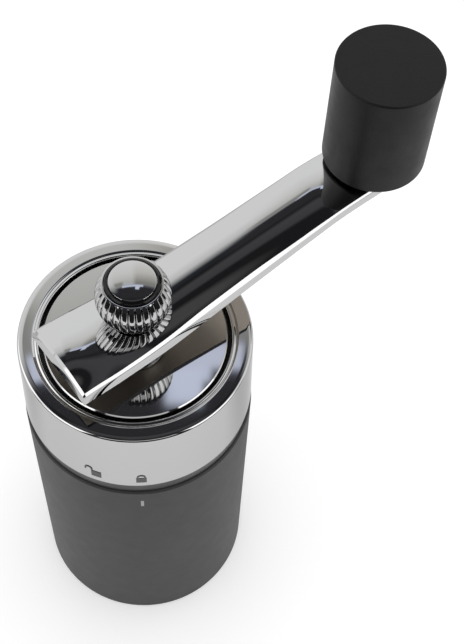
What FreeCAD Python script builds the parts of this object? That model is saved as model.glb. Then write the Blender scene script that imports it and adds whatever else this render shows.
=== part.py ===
"""Nutmeg grinder with a crank: a parametric assembly, in millimetres, +Z up.

The origin is the centre of the face that the grinder stands on. The front, with the index mark, faces -Y.
The crank points away from the front to the right, at crank_angle from +X.
"""
import FreeCAD
import Part
import Sketcher
import math
import os
import re

V = FreeCAD.Vector
UP = V(0, 0, 1)

# Driving sizes, one per line: name, value in millimetres or degrees, what it is
SIZES = [
    # outer body
    ("body_radius", 28.5, "outer radius of the shell"),
    ("body_height", 81.5, "height of the shell's top edge"),
    ("body_wall", 3.0, "wall of the shell"),
    ("body_edge_round", 0.6, "round on the shell's top edge"),
    ("foot_round", 0.8, "round on the shell's bottom edge"),
    ("ledge_width", 0.5, "inner ledge that carries the sleeve's flange"),
    ("ledge_depth", 10.7, "depth of that ledge under the shell's top edge"),
    ("foot_recess", 0.8, "how far the grater carrier stays above the table"),
    ("fit_gap", 0.1, "gap of pieces that are fixed in each other"),
    ("run_gap", 0.05, "radial gap of a shaft in its bush"),
    ("part_gap", 0.3, "gap between pieces that pass each other"),
    # grater and its carrier
    ("carrier_flange_width", 0.8, "how far the carrier's flange stands out under the shell's bore"),
    ("carrier_flange_thickness", 2.2, "thickness of that flange"),
    ("carrier_height", 9.4, "height of the carrier over its own foot"),
    ("mouth_step", 0.5, "how far the outlet mouth lies inside the chamber's bore"),
    ("mouth_flare", 2.3, "how much the mouth widens towards the table"),
    ("grater_margin", 2.7, "how far the grater disc reaches out past the chamber's bore"),
    ("grater_thickness", 0.8, "sheet thickness of the grater disc"),
    ("blade_start", 2.2, "inner end of the first ring of blades"),
    ("blade_margin", 2.2, "from the last ring of blades to the outlet mouth's edge"),
    ("blade_web", 0.3, "radial web between rings of blades"),
    ("blade_slot", 1.5, "width of the slot under one blade"),
    ("blade_ramp", 1.9, "length of the pressed ramp behind a blade"),
    ("blade_rise", 0.6, "height of a cutting edge over the disc"),
    ("screw_radius", 1.1, "shank radius of the carrier screws"),
    ("screw_head_radius", 2.2, "head radius of the carrier screws"),
    ("screw_head_height", 1.6, "head height of the carrier screws"),
    ("screw_seat", 2.4, "depth of the counterbores for their heads"),
    ("screw_count", 3, "number of screws in each group"),
    ("thread_gap", 0.05, "gap round a screw in its threaded hole"),
    ("screw_reach", 11.0, "how far the carrier screws reach into the sleeve's bosses"),
    # chamber sleeve
    ("chamber_margin", 8.0, "from the shell's bore in to the nut chamber's bore"),
    ("sleeve_wall", 1.4, "wall of the nut chamber"),
    ("sleeve_flange", 1.2, "thickness of the sleeve's top flange"),
    ("screw_boss_radius", 2.7, "outer radius of a screw boss on the sleeve"),
    ("screw_boss_height", 20.0, "height of a screw boss on the sleeve"),
    # bayonet collar
    ("band_height", 3.6, "black band that shows between shell and ring"),
    ("band_recess", 0.6, "how far the band lies inside the shell's radius"),
    ("collar_wall", 1.0, "wall of the collar's skirt inside the shell"),
    ("bayonet_depth", 1.5, "radial hold of a bayonet lug"),
    ("bayonet_ledge", 1.0, "how far the collar's ledge reaches under the shell's top edge"),
    ("lug_angle", 18.0, "width of a bayonet lug, in degrees"),
    ("lug_height", 2.5, "height of a bayonet lug"),
    ("lock_twist", 25.0, "twist from locked to unlocked, in degrees"),
    ("lug_play", 2.0, "play of a lug on each side of its gap, in degrees"),
    ("stop_angle", 5.0, "width of a stop rib in the collar, in degrees"),
    ("stop_play", 0.5, "play of a lug at its stop ribs, in degrees"),
    ("lug_azimuth", 30.0, "direction of the first lug when locked, in degrees from +X"),
    ("lug_count", 3, "number of bayonet lugs"),
    # head
    ("seat_gap", 0.15, "gap under the ring and its carrier on the collar"),
    ("ring_setback", 0.2, "how far the lock ring lies inside the shell's radius"),
    ("ring_height", 23.15, "height of the lock ring"),
    ("ring_wall", 2.0, "wall of the lock ring"),
    ("ring_draft", 0.55, "how much narrower the ring is at its top"),
    ("ring_round", 1.0, "round on the ring's top outer edge"),
    ("ring_foot_round", 0.5, "round on the ring's bottom outer edge"),
    ("bead_width", 3.0, "width of the rounded bead along the ring's bore"),
    ("bead_radius", 2.6, "radius of the bead's round top"),
    ("bead_drop", 0.3, "how far the bead's inner edge lies under the ring's top"),
    ("lip_width", 5.6, "width of the ring's inward lip"),
    ("lip_thickness", 4.1, "thickness of the ring's inward lip"),
    ("floor_thickness", 2.9, "floor of the head carrier"),
    ("skirt_wall", 2.0, "wall of the carrier's skirt"),
    ("skirt_flange", 2.0, "thickness of the carrier's lower flange, which rests on the collar"),
    ("hub_radius", 8.0, "outer radius of the carrier's bearing hub"),
    ("rib_count", 6, "number of ribs between hub and skirt"),
    ("rib_height", 8.0, "height of the ribs between hub and skirt"),
    ("rib_thickness", 1.4, "thickness of those ribs"),
    ("ring_screw_radius", 0.8, "shank radius of the ring screws"),
    ("ring_screw_head", 1.25, "head radius of the ring screws"),
    ("ring_screw_head_height", 1.2, "head height of the ring screws"),
    ("ring_screw_reach", 2.6, "how far the ring screws reach into the ring's lip"),
    # bearing and shaft
    ("shaft_radius", 4.0, "radius of the shaft in the bush"),
    ("bush_wall", 1.5, "wall of the bush"),
    ("bush_length", 16.3, "length of the bush under its flange"),
    ("bush_flange", 0.8, "thickness of the bush flange"),
    ("bush_flange_radius", 8.0, "outer radius of the bush flange"),
    ("washer_thickness", 0.4, "thickness of the thrust washer"),
    ("shoulder_radius", 7.0, "radius of the shaft's shoulder"),
    ("shoulder_thickness", 1.5, "thickness of the shaft's shoulder"),
    ("upper_square", 6.0, "square of the shaft through disc, boss and arm"),
    ("lower_square", 5.5, "square of the shaft in the claw"),
    ("square_gap", 0.08, "gap on each side of a square"),
    ("thread_radius", 3.0, "radius of the shaft's threaded top"),
    ("thread_length", 11.0, "length of the threaded top"),
    ("clip_thickness", 0.8, "thickness of the shaft clip"),
    ("clip_radius", 6.0, "outer radius of the shaft clip"),
    ("clip_groove", 0.8, "depth of the clip's groove"),
    ("cup_thickness", 1.2, "thickness of the spring cup's flange"),
    ("cup_radius", 8.6, "outer radius of the spring cup"),
    ("cup_collar", 3.0, "length of the cup's collar inside the spring"),
    ("cup_collar_wall", 1.7, "wall of that collar"),
    # crank
    ("crank_angle", 31.5, "direction of the crank at rest, in degrees from +X"),
    ("crank_radius", 70.0, "from the shaft's axis to the handle's axis"),
    ("disc_gap", 0.9, "black gap between the ring and the disc"),
    ("disc_thickness", 1.4, "plate of the crank disc"),
    ("disc_rim", 1.6, "how far the disc's rim turns down under the plate"),
    ("disc_rim_wall", 1.2, "wall of that rim"),
    ("disc_bevel", 0.3, "bevel on the disc's top edge"),
    ("boss_height", 5.0, "height of the hub boss"),
    ("boss_radius", 5.6, "waist of the hub boss"),
    ("boss_foot_radius", 6.8, "foot and head of the hub boss"),
    ("boss_foot_height", 0.9, "height of that foot and head"),
    ("boss_fillet", 0.8, "fillet at the waist's ends"),
    ("arm_thickness", 4.85, "thickness of the arm at its crown, over the hub"),
    ("arm_tip_thickness", 3.3, "thickness of the arm at its crown, under the handle"),
    ("arm_crown_radius", 30.0, "radius of the arm's crowned top, across it"),
    ("arm_tail", 20.8, "from the shaft's axis to the arm's square end"),
    ("arm_tail_half", 10.65, "half width of that square end"),
    ("arm_end_radius", 7.9, "round end under the handle"),
    ("arm_waist_radius", 2080.0, "radius of the slight inward curve of the arm's sides, in plan"),
    ("arm_bevel", 0.7, "bright bevel along the arm's top edges"),
    ("arm_bend_start", 2.5, "from the square end's side of the axis to the first bend"),
    ("arm_bend_radius", 60.0, "radius of both bends, on the arm's underside"),
    ("arm_rise", 7.6, "how much the handle's end lies over the hub's end"),
    ("arm_pad", 10.0, "level stretch from the second bend to the handle's axis"),
    ("spot_depth", 0.3, "depth of the flat seats in the crown"),
    # knob nut
    ("knob_radius", 8.7, "radius of the ball nut over its ridges"),
    ("knob_centre", 7.9, "from the nut's seat up to the ball's centre"),
    ("knob_foot_radius", 4.6, "radius of the nut's foot"),
    ("knob_foot_height", 1.2, "height of the nut's foot"),
    ("knob_lip_radius", 7.0, "radius of the nut's lip round the black ring"),
    ("knob_ridges", 30, "number of ridges"),
    ("flute_depth", 0.55, "depth of the valleys between the ridges"),
    ("flute_share", 0.92, "share of the pitch, at the lip, that a valley takes"),
    ("flute_sweep", 100.7, "how far a valley runs over the ball, in degrees"),
    ("knob_ring_radius", 6.45, "outer radius of the black ring"),
    ("knob_ring_width", 0.9, "width of the black ring"),
    ("knob_recess", 1.0, "depth of the recess for ring and cap"),
    ("knob_ring_height", 1.75, "height of the black ring and the cap where they meet"),
    ("knob_ring_round", 1.0, "radius of the ring's rounded shoulder"),
    ("knob_cap_dome", 0.55, "rise of the cap's dome"),
    # handle
    ("handle_radius", 12.5, "radius of the grip"),
    ("handle_height", 30.3, "height of the grip"),
    ("handle_edge", 0.4, "bevel on the grip's top edge"),
    ("handle_foot", 0.6, "bevel on the grip's bottom edge"),
    ("handle_lift", 0.25, "gap between the washer and the grip"),
    ("handle_washer_radius", 6.6, "radius of the washer under the grip"),
    ("handle_washer_thickness", 0.9, "thickness of that washer"),
    ("pin_radius", 3.0, "radius of the handle's pin"),
    ("pin_head_radius", 4.6, "radius of the pin's riveted head under the arm"),
    ("pin_head_height", 1.0, "height of that head"),
    ("handle_bush_radius", 6.0, "outer radius of the handle's bush"),
    ("handle_bush_length", 23.0, "length of the handle's bush"),
    ("handle_bush_flange", 9.0, "radius of the bush's flange"),
    ("handle_bush_flange_thickness", 1.5, "thickness of that flange"),
    ("pin_clip_radius", 5.4, "outer radius of the pin clip"),
    ("pin_clip_thickness", 0.8, "thickness of the pin clip"),
    ("pin_clip_groove", 0.6, "depth of its groove"),
    ("pin_end", 1.6, "length of the pin beyond its clip"),
    # claw
    ("claw_travel", 20.0, "stroke of the claw up the shaft"),
    ("prong_clearance", 0.7, "from the blades' edges to the prongs' points"),
    ("prong_length", 6.2, "length of a prong"),
    ("prong_width", 3.4, "width of a prong at its root"),
    ("prong_sheet", 1.0, "sheet thickness of the spider"),
    ("prong_inset", 3.2, "from the spider's edge in to the circle of prongs"),
    ("spider_gap", 1.7, "gap between the spider and the chamber's bore"),
    ("claw_flange_setback", 0.4, "how far the claw hub's flange lies inside the spider"),
    ("claw_flange_thickness", 2.0, "thickness of that flange"),
    ("stem_radius", 5.6, "outer radius of the claw's stem"),
    ("stem_bore", 4.6, "radius of the stem's lower bore"),
    ("guide_length", 7.4, "length of the square guide in the stem's top"),
    ("stop_radius", 4.3, "radius of the stop washer"),
    ("stop_thickness", 1.0, "thickness of the stop washer"),
    ("stop_screw_radius", 1.4, "shank radius of the stop screw"),
    ("stop_screw_head", 2.6, "head radius of the stop screw"),
    ("stop_screw_head_height", 1.5, "head height of the stop screw"),
    ("stop_screw_reach", 8.0, "how far the stop screw reaches into the shaft"),
    ("stop_clearance", 3.2, "from the stop screw's head down to the spider, with the claw fully raised"),
    ("prong_count", 6, "number of prongs"),
    ("rivet_count", 3, "number of rivets that hold the spider"),
    ("rivet_azimuth", 30.0, "direction of the first rivet, in degrees from +X"),
    ("rivet_inset", 5.0, "from the spider's edge in to the circle of rivets"),
    ("rivet_radius", 1.1, "shank radius of a claw rivet"),
    ("rivet_head", 1.8, "head radius of a claw rivet"),
    ("rivet_head_height", 0.6, "head height of a claw rivet"),
    ("spring_radius", 7.0, "mean radius of the claw spring"),
    ("spring_wire", 1.2, "wire diameter of the claw spring"),
    ("spring_turns", 9, "number of turns of the claw spring"),
    ("spring_end_turns", 1.0, "turns at each end that lie close"),
    ("spring_end_pitch", 1.8, "pitch of those turns"),
]

doc = FreeCAD.newDocument("nutmeg_grinder")
sheet = doc.addObject("Spreadsheet::Sheet", "Sizes")
for row, (alias, number, meaning) in enumerate(SIZES, start=1):
    sheet.set(f"A{row}", alias)
    sheet.set(f"B{row}", str(number))
    sheet.set(f"C{row}", meaning)
    sheet.setAlias(f"B{row}", alias)
doc.recompute()
ALIASES = {alias for alias, number, meaning in SIZES}


def bind(text):
    """The expression with each size's name pointing at its cell."""
    return re.sub(r"[a-z_]+", lambda word: "Sizes." + word[0] if word[0] in ALIASES else word[0], text)


def number_of(text):
    """The value that an expression over the sheet has now."""
    value = sheet.evalExpression(bind(text))
    return float(getattr(value, "Value", value))


def new_body(name):
    """An empty body whose Label names its sub-part."""
    body = doc.addObject("PartDesign::Body", name)
    body.Label = name
    body.AllowCompound = True
    return body


def origin_feature(body, role):
    """One of the body's own origin planes or axes."""
    return next(feature for feature in body.Origin.OriginFeatures if feature.Role == role)


def plane_sketch(body, name, role, lift="0"):
    """A sketch on one of the body's origin planes, lifted along the plane's normal."""
    sketch = body.newObject("Sketcher::SketchObject", name)
    sketch.AttachmentSupport = [(origin_feature(body, role), "")]
    sketch.MapMode = "FlatFace"
    sketch.setExpression("AttachmentOffset.Base.z", bind(lift))
    return sketch


def level_sketch(body, name, height, azimuth="0"):
    """A horizontal sketch at a height, seen from above, with its x towards an azimuth."""
    sketch = plane_sketch(body, name, "XY_Plane", height)
    sketch.AttachmentOffset = FreeCAD.Placement(V(), FreeCAD.Rotation(UP, 1))
    sketch.setExpression("AttachmentOffset.Rotation.Angle", bind(f"({azimuth}) * 1deg"))
    return sketch


def across_sketch(body, name, distance, azimuth="0"):
    """An upright sketch facing the Z axis from a distance, at an azimuth: x is sideways, y the height."""
    sketch = plane_sketch(body, name, "YZ_Plane", f"({distance}) * cos(({azimuth}) * 1deg)")
    sketch.AttachmentOffset = FreeCAD.Placement(V(), FreeCAD.Rotation(V(0, 1, 0), 1))
    sketch.setExpression("AttachmentOffset.Base.x", bind(f"({distance}) * sin(({azimuth}) * 1deg)"))
    sketch.setExpression("AttachmentOffset.Rotation.Angle", bind(f"({azimuth}) * 1deg"))
    return sketch


def meridian_sketch(body, name, azimuth="0"):
    """A sketch whose x is the distance from the Z axis, at an azimuth, and whose y is the height."""
    sketch = plane_sketch(body, name, "XZ_Plane")
    sketch.AttachmentOffset = FreeCAD.Placement(V(), FreeCAD.Rotation(V(0, 1, 0), 1))
    sketch.setExpression("AttachmentOffset.Rotation.Angle", bind(f"({azimuth}) * 1deg"))
    return sketch


def hold(sketch, kind, first, second, text):
    """A distance or radius constraint of the sketch, bound to an expression."""
    where = (*first, *second) if second is not None else first
    index = sketch.addConstraint(Sketcher.Constraint(kind, *where, number_of(text)))
    sketch.setExpression(f"Constraints[{index}]", bind(text))


ROOT_POINT = (-1, 1)


def place_point(sketch, geometry, vertex, spot):
    """Fixes one vertex at a spot given as two expressions."""
    hold(sketch, "DistanceX", ROOT_POINT, (geometry, vertex), spot[0])
    hold(sketch, "DistanceY", ROOT_POINT, (geometry, vertex), spot[1])


def left_turning_arc(start, end, radius):
    """A short arc from start to end that turns to the left."""
    chord = end - start
    left = V(-chord.y, chord.x, 0).normalize()
    centre = (start + end) * 0.5 + left * math.sqrt(radius**2 - (chord.Length / 2) ** 2)
    begin = math.atan2(start.y - centre.y, start.x - centre.x)
    sweep = 2 * math.asin(chord.Length / 2 / radius)
    return Part.ArcOfCircle(Part.Circle(centre, UP, radius), begin, begin + sweep)


def polygon(sketch, *spots):
    """A closed, left-turning outline. A spot's third item is the radius of the arc that starts there."""
    corners = [V(number_of(spot[0]), number_of(spot[1]), 0) for spot in spots]
    first = sketch.GeometryCount
    for spot, start, end in zip(spots, corners, corners[1:] + corners[:1]):
        if len(spot) == 3:
            sketch.addGeometry(left_turning_arc(start, end, number_of(spot[2])), False)
        else:
            sketch.addGeometry(Part.LineSegment(start, end), False)
    for index, spot in enumerate(spots):
        follower = first + (index + 1) % len(spots)
        sketch.addConstraint(Sketcher.Constraint("Coincident", first + index, 2, follower, 1))
        place_point(sketch, first + index, 1, spot)
        if len(spot) == 3:
            hold(sketch, "Radius", (first + index,), None, spot[2])


def rectangle(sketch, left, right, low, high):
    """A closed rectangle."""
    polygon(sketch, (left, low), (right, low), (right, high), (left, high))


def square(sketch, side):
    """A square round the sketch's origin."""
    half = f"({side}) / 2"
    rectangle(sketch, f"-{half}", half, f"-{half}", half)


def circle(sketch, radius, spot=("0", "0")):
    """A circle about a spot."""
    centre = V(number_of(spot[0]), number_of(spot[1]), 0)
    index = sketch.addGeometry(Part.Circle(centre, V(0, 0, 1), number_of(radius)), False)
    place_point(sketch, index, 3, spot)
    hold(sketch, "Radius", (index,), None, radius)


def pad(body, sketch, length, reverse=False, midplane=False):
    """Adds material over a sketch."""
    feature = body.newObject("PartDesign::Pad", sketch.Name + "_pad")
    feature.Profile = sketch
    feature.setExpression("Length", bind(length))
    feature.Reversed = reverse
    feature.SideType = "Symmetric" if midplane else "One side"
    return feature


def pocket(body, sketch, length, upward=False, midplane=False):
    """Cuts from the sketch's plane, downward unless told otherwise, and checks that it cut."""
    doc.recompute()
    before = body.Shape.Volume
    feature = body.newObject("PartDesign::Pocket", sketch.Name + "_pocket")
    feature.Profile = sketch
    feature.setExpression("Length", bind(length))
    feature.Reversed = upward
    feature.SideType = "Symmetric" if midplane else "One side"
    doc.recompute()
    if body.Shape.Volume >= before:
        raise ValueError(f"{feature.Name} cuts nothing")
    return feature


def turned(body, sketch, kind="Revolution", angle="360"):
    """Revolves a sketch about its y axis, to both sides of its plane where the turn is not a full one."""
    feature = body.newObject("PartDesign::" + kind, sketch.Name + "_turned")
    feature.Profile = sketch
    feature.ReferenceAxis = (sketch, ["V_Axis"])
    feature.setExpression("Angle", bind(f"({angle}) * 1deg"))
    feature.Midplane = angle != "360"
    return feature


def around(body, features, count, name):
    """Repeats features round Z."""
    doc.recompute()
    pattern = body.newObject("PartDesign::PolarPattern", name)
    pattern.Originals = features
    pattern.Axis = (origin_feature(body, "Z_Axis"), [""])
    pattern.Angle = 360
    pattern.setExpression("Occurrences", bind(count))
    body.Tip = pattern
    return pattern


def turned_body(name, *spots):
    """A body turned from a profile of radius and height pairs."""
    body = new_body(name)
    sketch = meridian_sketch(body, name + "_profile")
    polygon(sketch, *spots)
    turned(body, sketch)
    return body


def dress(body, kind, size, *rings):
    """Fillets or chamfers the circular edges at the given radius and height pairs."""
    doc.recompute()
    wanted = [(number_of(radius), number_of(height)) for radius, height in rings]
    names = []
    for index, edge in enumerate(body.Shape.Edges, start=1):
        if not isinstance(edge.Curve, Part.Circle):
            continue
        here = (edge.Curve.Radius, edge.Curve.Center.z)
        if any(math.dist(here, spot) < 1e-3 for spot in wanted):
            names.append(f"Edge{index}")
    if len(names) < len(rings):
        raise ValueError(f"{body.Name}: {kind} found {len(names)} of {len(rings)} edges")
    feature = body.newObject("PartDesign::" + kind, f"{body.Name}_{kind}".lower())
    feature.Base = (feature.BaseFeature, names)
    feature.setExpression("Radius" if kind == "Fillet" else "Size", bind(size))
    doc.recompute()
    return feature


def turn_with_crank(body, reach="0"):
    """Turns a body, drawn with the crank along +X, to the crank's rest direction, at a reach along it."""
    body.Placement = FreeCAD.Placement(V(), FreeCAD.Rotation(UP, 1))
    body.setExpression("Placement.Rotation.Angle", bind("crank_angle * 1deg"))
    body.setExpression("Placement.Base.x", bind(f"({reach}) * cos(crank_angle * 1deg)"))
    body.setExpression("Placement.Base.y", bind(f"({reach}) * sin(crank_angle * 1deg)"))


# Heights of the seats, from the table up
CARRIER_TOP = "(foot_recess + carrier_height)"
CARRIER_SEAT = "(foot_recess + carrier_flange_thickness)"
LEDGE = "(body_height - ledge_depth)"
BAND_TOP = "(body_height + band_height)"
LEDGE_UNDER = "(body_height - bayonet_ledge)"
RING_FOOT = f"({BAND_TOP} + seat_gap)"
RING_TOP = f"({RING_FOOT} + ring_height)"
FLOOR_TOP = f"({RING_TOP} - lip_thickness)"
FLOOR_UNDER = f"({FLOOR_TOP} - floor_thickness)"
BUSH_FOOT = f"({FLOOR_TOP} - bush_length)"
BUSH_TOP = f"({FLOOR_TOP} + bush_flange)"
SHOULDER_UNDER = f"({BUSH_TOP} + washer_thickness)"
SHOULDER_TOP = f"({SHOULDER_UNDER} + shoulder_thickness)"
DISC_TOP = f"({SHOULDER_TOP} + disc_thickness)"
BOSS_TOP = f"({DISC_TOP} + boss_height)"
HUB_CROWN = f"({BOSS_TOP} + arm_thickness)"
KNOB_SEAT = f"({HUB_CROWN} - spot_depth)"
KNOB_CENTRE = f"({KNOB_SEAT} + knob_centre)"
KNOB_TOP = f"({KNOB_CENTRE} + sqrt(knob_radius^2 - knob_lip_radius^2))"
KNOB_RECESS = f"({KNOB_TOP} - knob_recess)"
PAD_UNDER = f"({BOSS_TOP} + arm_rise)"
PAD_SEAT = f"({PAD_UNDER} + arm_thickness - spot_depth)"
TIP_UNDER = f"({PAD_UNDER} + arm_thickness - arm_tip_thickness)"
GRIP_FOOT = f"({PAD_SEAT} + handle_washer_thickness + handle_lift)"
GRIP_TOP = f"({GRIP_FOOT} + handle_height)"
GRIP_BUSH_TOP = f"({GRIP_FOOT} + handle_bush_length)"
PIN_CLIP_UNDER = f"({GRIP_BUSH_TOP} + part_gap)"
PIN_TOP = f"({PIN_CLIP_UNDER} + pin_clip_thickness + pin_end)"
CLIP_TOP = f"({BUSH_FOOT} - part_gap)"
CLIP_UNDER = f"({CLIP_TOP} - clip_thickness)"
CUP_UNDER = f"({CLIP_UNDER} - cup_thickness)"
SHAFT_STEP = f"({CUP_UNDER} - cup_collar)"
BLADE_TOP = f"({CARRIER_TOP} + blade_rise)"
SPIDER_UNDER = f"({BLADE_TOP} + prong_clearance + prong_length)"
CLAW_UNDER = f"({SPIDER_UNDER} + prong_sheet)"
CLAW_TOP = f"({CLAW_UNDER} + claw_flange_thickness)"
STOP_HEAD_UNDER = f"({CLAW_UNDER} + stop_clearance + claw_travel)"
SHAFT_END = f"({STOP_HEAD_UNDER} + stop_screw_head_height + stop_thickness)"
GUIDE_UNDER = f"({SHAFT_END} + part_gap)"
STEM_TOP = f"({GUIDE_UNDER} + guide_length)"

# Radii that more than one piece follows, from the shell inwards
SHELL_BORE = "(body_radius - body_wall)"
COUNTERBORE = f"({SHELL_BORE} + ledge_width)"
COLLAR_OUTER = f"({COUNTERBORE} - fit_gap)"
COLLAR_INNER = f"({COLLAR_OUTER} - collar_wall)"
LUG_OUTER = f"({COLLAR_INNER} - part_gap)"
SKIRT_OUTER = f"({LUG_OUTER} - bayonet_depth)"
LEDGE_BORE = f"({SKIRT_OUTER} + part_gap)"
RING_OUTER = "(body_radius - ring_setback)"
RING_BORE = f"({RING_OUTER} - ring_wall)"
LIP_BORE = f"({RING_OUTER} - lip_width)"
DISC_OUTER = f"({LIP_BORE} - disc_gap)"
RING_SCREW_CIRCLE = f"(({RING_BORE} - fit_gap + {SKIRT_OUTER}) / 2)"
SCREW_CIRCLE = f"({SHELL_BORE} - part_gap - screw_boss_radius)"
SLEEVE_BORE = f"({SHELL_BORE} - chamber_margin)"
MOUTH = f"({SLEEVE_BORE} - mouth_step)"
GRATER_OUTER = f"({SLEEVE_BORE} + grater_margin)"
SPIDER_OUTER = f"({SLEEVE_BORE} - spider_gap)"
PRONG_CIRCLE = f"({SPIDER_OUTER} - prong_inset)"
RIVET_CIRCLE = f"({SPIDER_OUTER} - rivet_inset)"
BUSH_OUTER = "(shaft_radius + run_gap + bush_wall)"
ARM_BUTT = "(-arm_tail - part_gap)"
ARM_REACH = "(crank_radius + arm_end_radius + part_gap)"
UNLOCKED_LUG = "(lug_azimuth + lock_twist)"

# Blades of the grater, from the inner ring to the outer one
BLADES_IN_RING = (3, 6, 9)


def open_clip(name, shaft_radius, groove, outer, under, thickness):
    """A spring clip in a shaft's groove, with a mouth that snaps over the groove's floor."""
    inner = f"({shaft_radius} - {groove} + fit_gap / 2)"
    top = f"({under} + {thickness})"
    body = turned_body(name, (inner, under), (outer, under), (outer, top), (inner, top))
    mouth = level_sketch(body, name + "_mouth", top)
    half = f"({shaft_radius} - {groove}) * 0.8"
    rectangle(mouth, "0", f"2 * {outer}", f"-{half}", half)
    pocket(body, mouth, thickness)
    return body


def screws(name, circle_radius, shank_radius, head_radius, seat, head_height, reach, count):
    """Small screws that point up, with their heads under a seat and a socket in each head."""
    body = new_body(name)
    centre = (circle_radius, "0")
    shank = level_sketch(body, name + "_shank", seat)
    circle(shank, shank_radius, centre)
    shank_pad = pad(body, shank, reach)
    head = level_sketch(body, name + "_head", seat)
    circle(head, head_radius, centre)
    head_pad = pad(body, head, head_height, reverse=True)
    socket = level_sketch(body, name + "_socket", f"{seat} - {head_height}")
    circle(socket, f"{head_radius} / 2", centre)
    socket_pocket = pocket(body, socket, f"{head_height} / 2", upward=True)
    if count != "1":
        around(body, [shank_pad, head_pad, socket_pocket], count, name + "_around")
    return body


def make_body_shell():
    """The outer tube: a soft-touch plastic moulding, open at both ends."""
    flange_bore = f"({SHELL_BORE} + carrier_flange_width)"
    body = turned_body(
        "body_shell",
        ("body_radius", "0"),
        ("body_radius", "body_height"),
        (COUNTERBORE, "body_height"),
        (COUNTERBORE, LEDGE),
        (SHELL_BORE, LEDGE),
        (SHELL_BORE, CARRIER_SEAT),
        (flange_bore, CARRIER_SEAT),
        (flange_bore, "0"),
    )
    dress(body, "Fillet", "body_edge_round", ("body_radius", "body_height"))
    dress(body, "Fillet", "foot_round", ("body_radius", "0"))
    return body


def make_grater_carrier():
    """The moulded ring under the grater: its flange bears on the shell, its mouth lets the shavings out."""
    flange_outer = f"({SHELL_BORE} + carrier_flange_width - fit_gap)"
    barrel = f"({SHELL_BORE} - fit_gap)"
    recess = f"({GRATER_OUTER} + fit_gap)"
    recess_floor = f"({CARRIER_TOP} - grater_thickness)"
    body = turned_body(
        "grater_carrier",
        (f"{MOUTH} + mouth_flare", "foot_recess"),
        (flange_outer, "foot_recess"),
        (flange_outer, CARRIER_SEAT),
        (barrel, CARRIER_SEAT),
        (barrel, CARRIER_TOP),
        (recess, CARRIER_TOP),
        (recess, recess_floor),
        (MOUTH, recess_floor),
    )
    centre = (SCREW_CIRCLE, "0")
    hole = level_sketch(body, "carrier_hole", "foot_recess")
    circle(hole, "screw_radius + fit_gap", centre)
    hole_pocket = pocket(body, hole, "carrier_height", upward=True)
    sink = level_sketch(body, "carrier_sink", "foot_recess")
    circle(sink, "screw_head_radius + part_gap", centre)
    sink_pocket = pocket(body, sink, "screw_seat", upward=True)
    around(body, [hole_pocket, sink_pocket], "screw_count", "carrier_holes")
    return body


def make_chamber_sleeve():
    """The nut chamber: a tube with a top flange on the shell's ledge and screw bosses at its foot."""
    outer = f"({SLEEVE_BORE} + sleeve_wall)"
    flange_top = f"({LEDGE} + sleeve_flange)"
    body = turned_body(
        "chamber_sleeve",
        (SLEEVE_BORE, CARRIER_TOP),
        (outer, CARRIER_TOP),
        (outer, LEDGE),
        (COLLAR_OUTER, LEDGE),
        (COLLAR_OUTER, flange_top),
        (SLEEVE_BORE, flange_top),
    )
    boss = level_sketch(body, "screw_boss", CARRIER_TOP)
    circle(boss, "screw_boss_radius", (SCREW_CIRCLE, "0"))
    boss_pad = pad(body, boss, "screw_boss_height")
    web = level_sketch(body, "boss_web", CARRIER_TOP)
    half_web = "(screw_boss_radius / 2)"
    web_inner = f"{outer} - sleeve_wall / 2"
    web_outer = f"{SCREW_CIRCLE} - screw_radius - fit_gap"
    rectangle(web, web_inner, web_outer, f"-{half_web}", half_web)
    web_pad = pad(body, web, "screw_boss_height")
    around(body, [boss_pad, web_pad], "screw_count", "screw_bosses")
    bore = level_sketch(body, "boss_bore", CARRIER_TOP)
    circle(bore, "screw_radius + thread_gap", (SCREW_CIRCLE, "0"))
    bore_pocket = pocket(body, bore, "screw_reach + part_gap", upward=True)
    around(body, [bore_pocket], "screw_count", "boss_bores")
    return body


def make_carrier_screws():
    """Screws that clamp the carrier, the shell and the chamber sleeve together from below."""
    seat = "(foot_recess + screw_seat)"
    reach = f"{CARRIER_TOP} - {seat} + screw_reach"
    return screws(
        "carrier_screws", SCREW_CIRCLE, "screw_radius", "screw_head_radius",
        seat, "screw_head_height", reach, "screw_count",
    )


def make_grater_disc():
    """The grater: a steel disc with rings of slots, each beside a pressed ramp with a raised edge."""
    body = new_body("grater_disc")
    under = f"({CARRIER_TOP} - grater_thickness)"
    disc = level_sketch(body, "grater_plate", under)
    circle(disc, GRATER_OUTER)
    pad(body, disc, "grater_thickness")
    step = f"(({MOUTH} - blade_margin - blade_start) / {len(BLADES_IN_RING)})"
    blade_length = f"({step} - blade_web)"
    for number, count in enumerate(BLADES_IN_RING):
        ring = f"blade_ring_{number + 1}"
        inner = f"(blade_start + {number} * {step})"
        outer = f"({inner} + {blade_length})"
        half_pitch = f"180 / {count}"
        slot = level_sketch(body, ring + "_slot", CARRIER_TOP, half_pitch)
        rectangle(slot, inner, outer, "-blade_slot / 2", "blade_slot / 2")
        slot_pocket = pocket(body, slot, "grater_thickness")
        ramp = across_sketch(body, ring + "_ramp", inner, half_pitch)
        back = "(blade_slot / 2 + blade_ramp)"
        edge = "(blade_slot / 6)"
        polygon(
            ramp,
            (back, CARRIER_TOP),
            (edge, BLADE_TOP),
            ("blade_slot / 2", under),
            (back, under),
        )
        ramp_pad = pad(body, ramp, blade_length)
        around(body, [slot_pocket, ramp_pad], str(count), ring)
    return body


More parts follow.
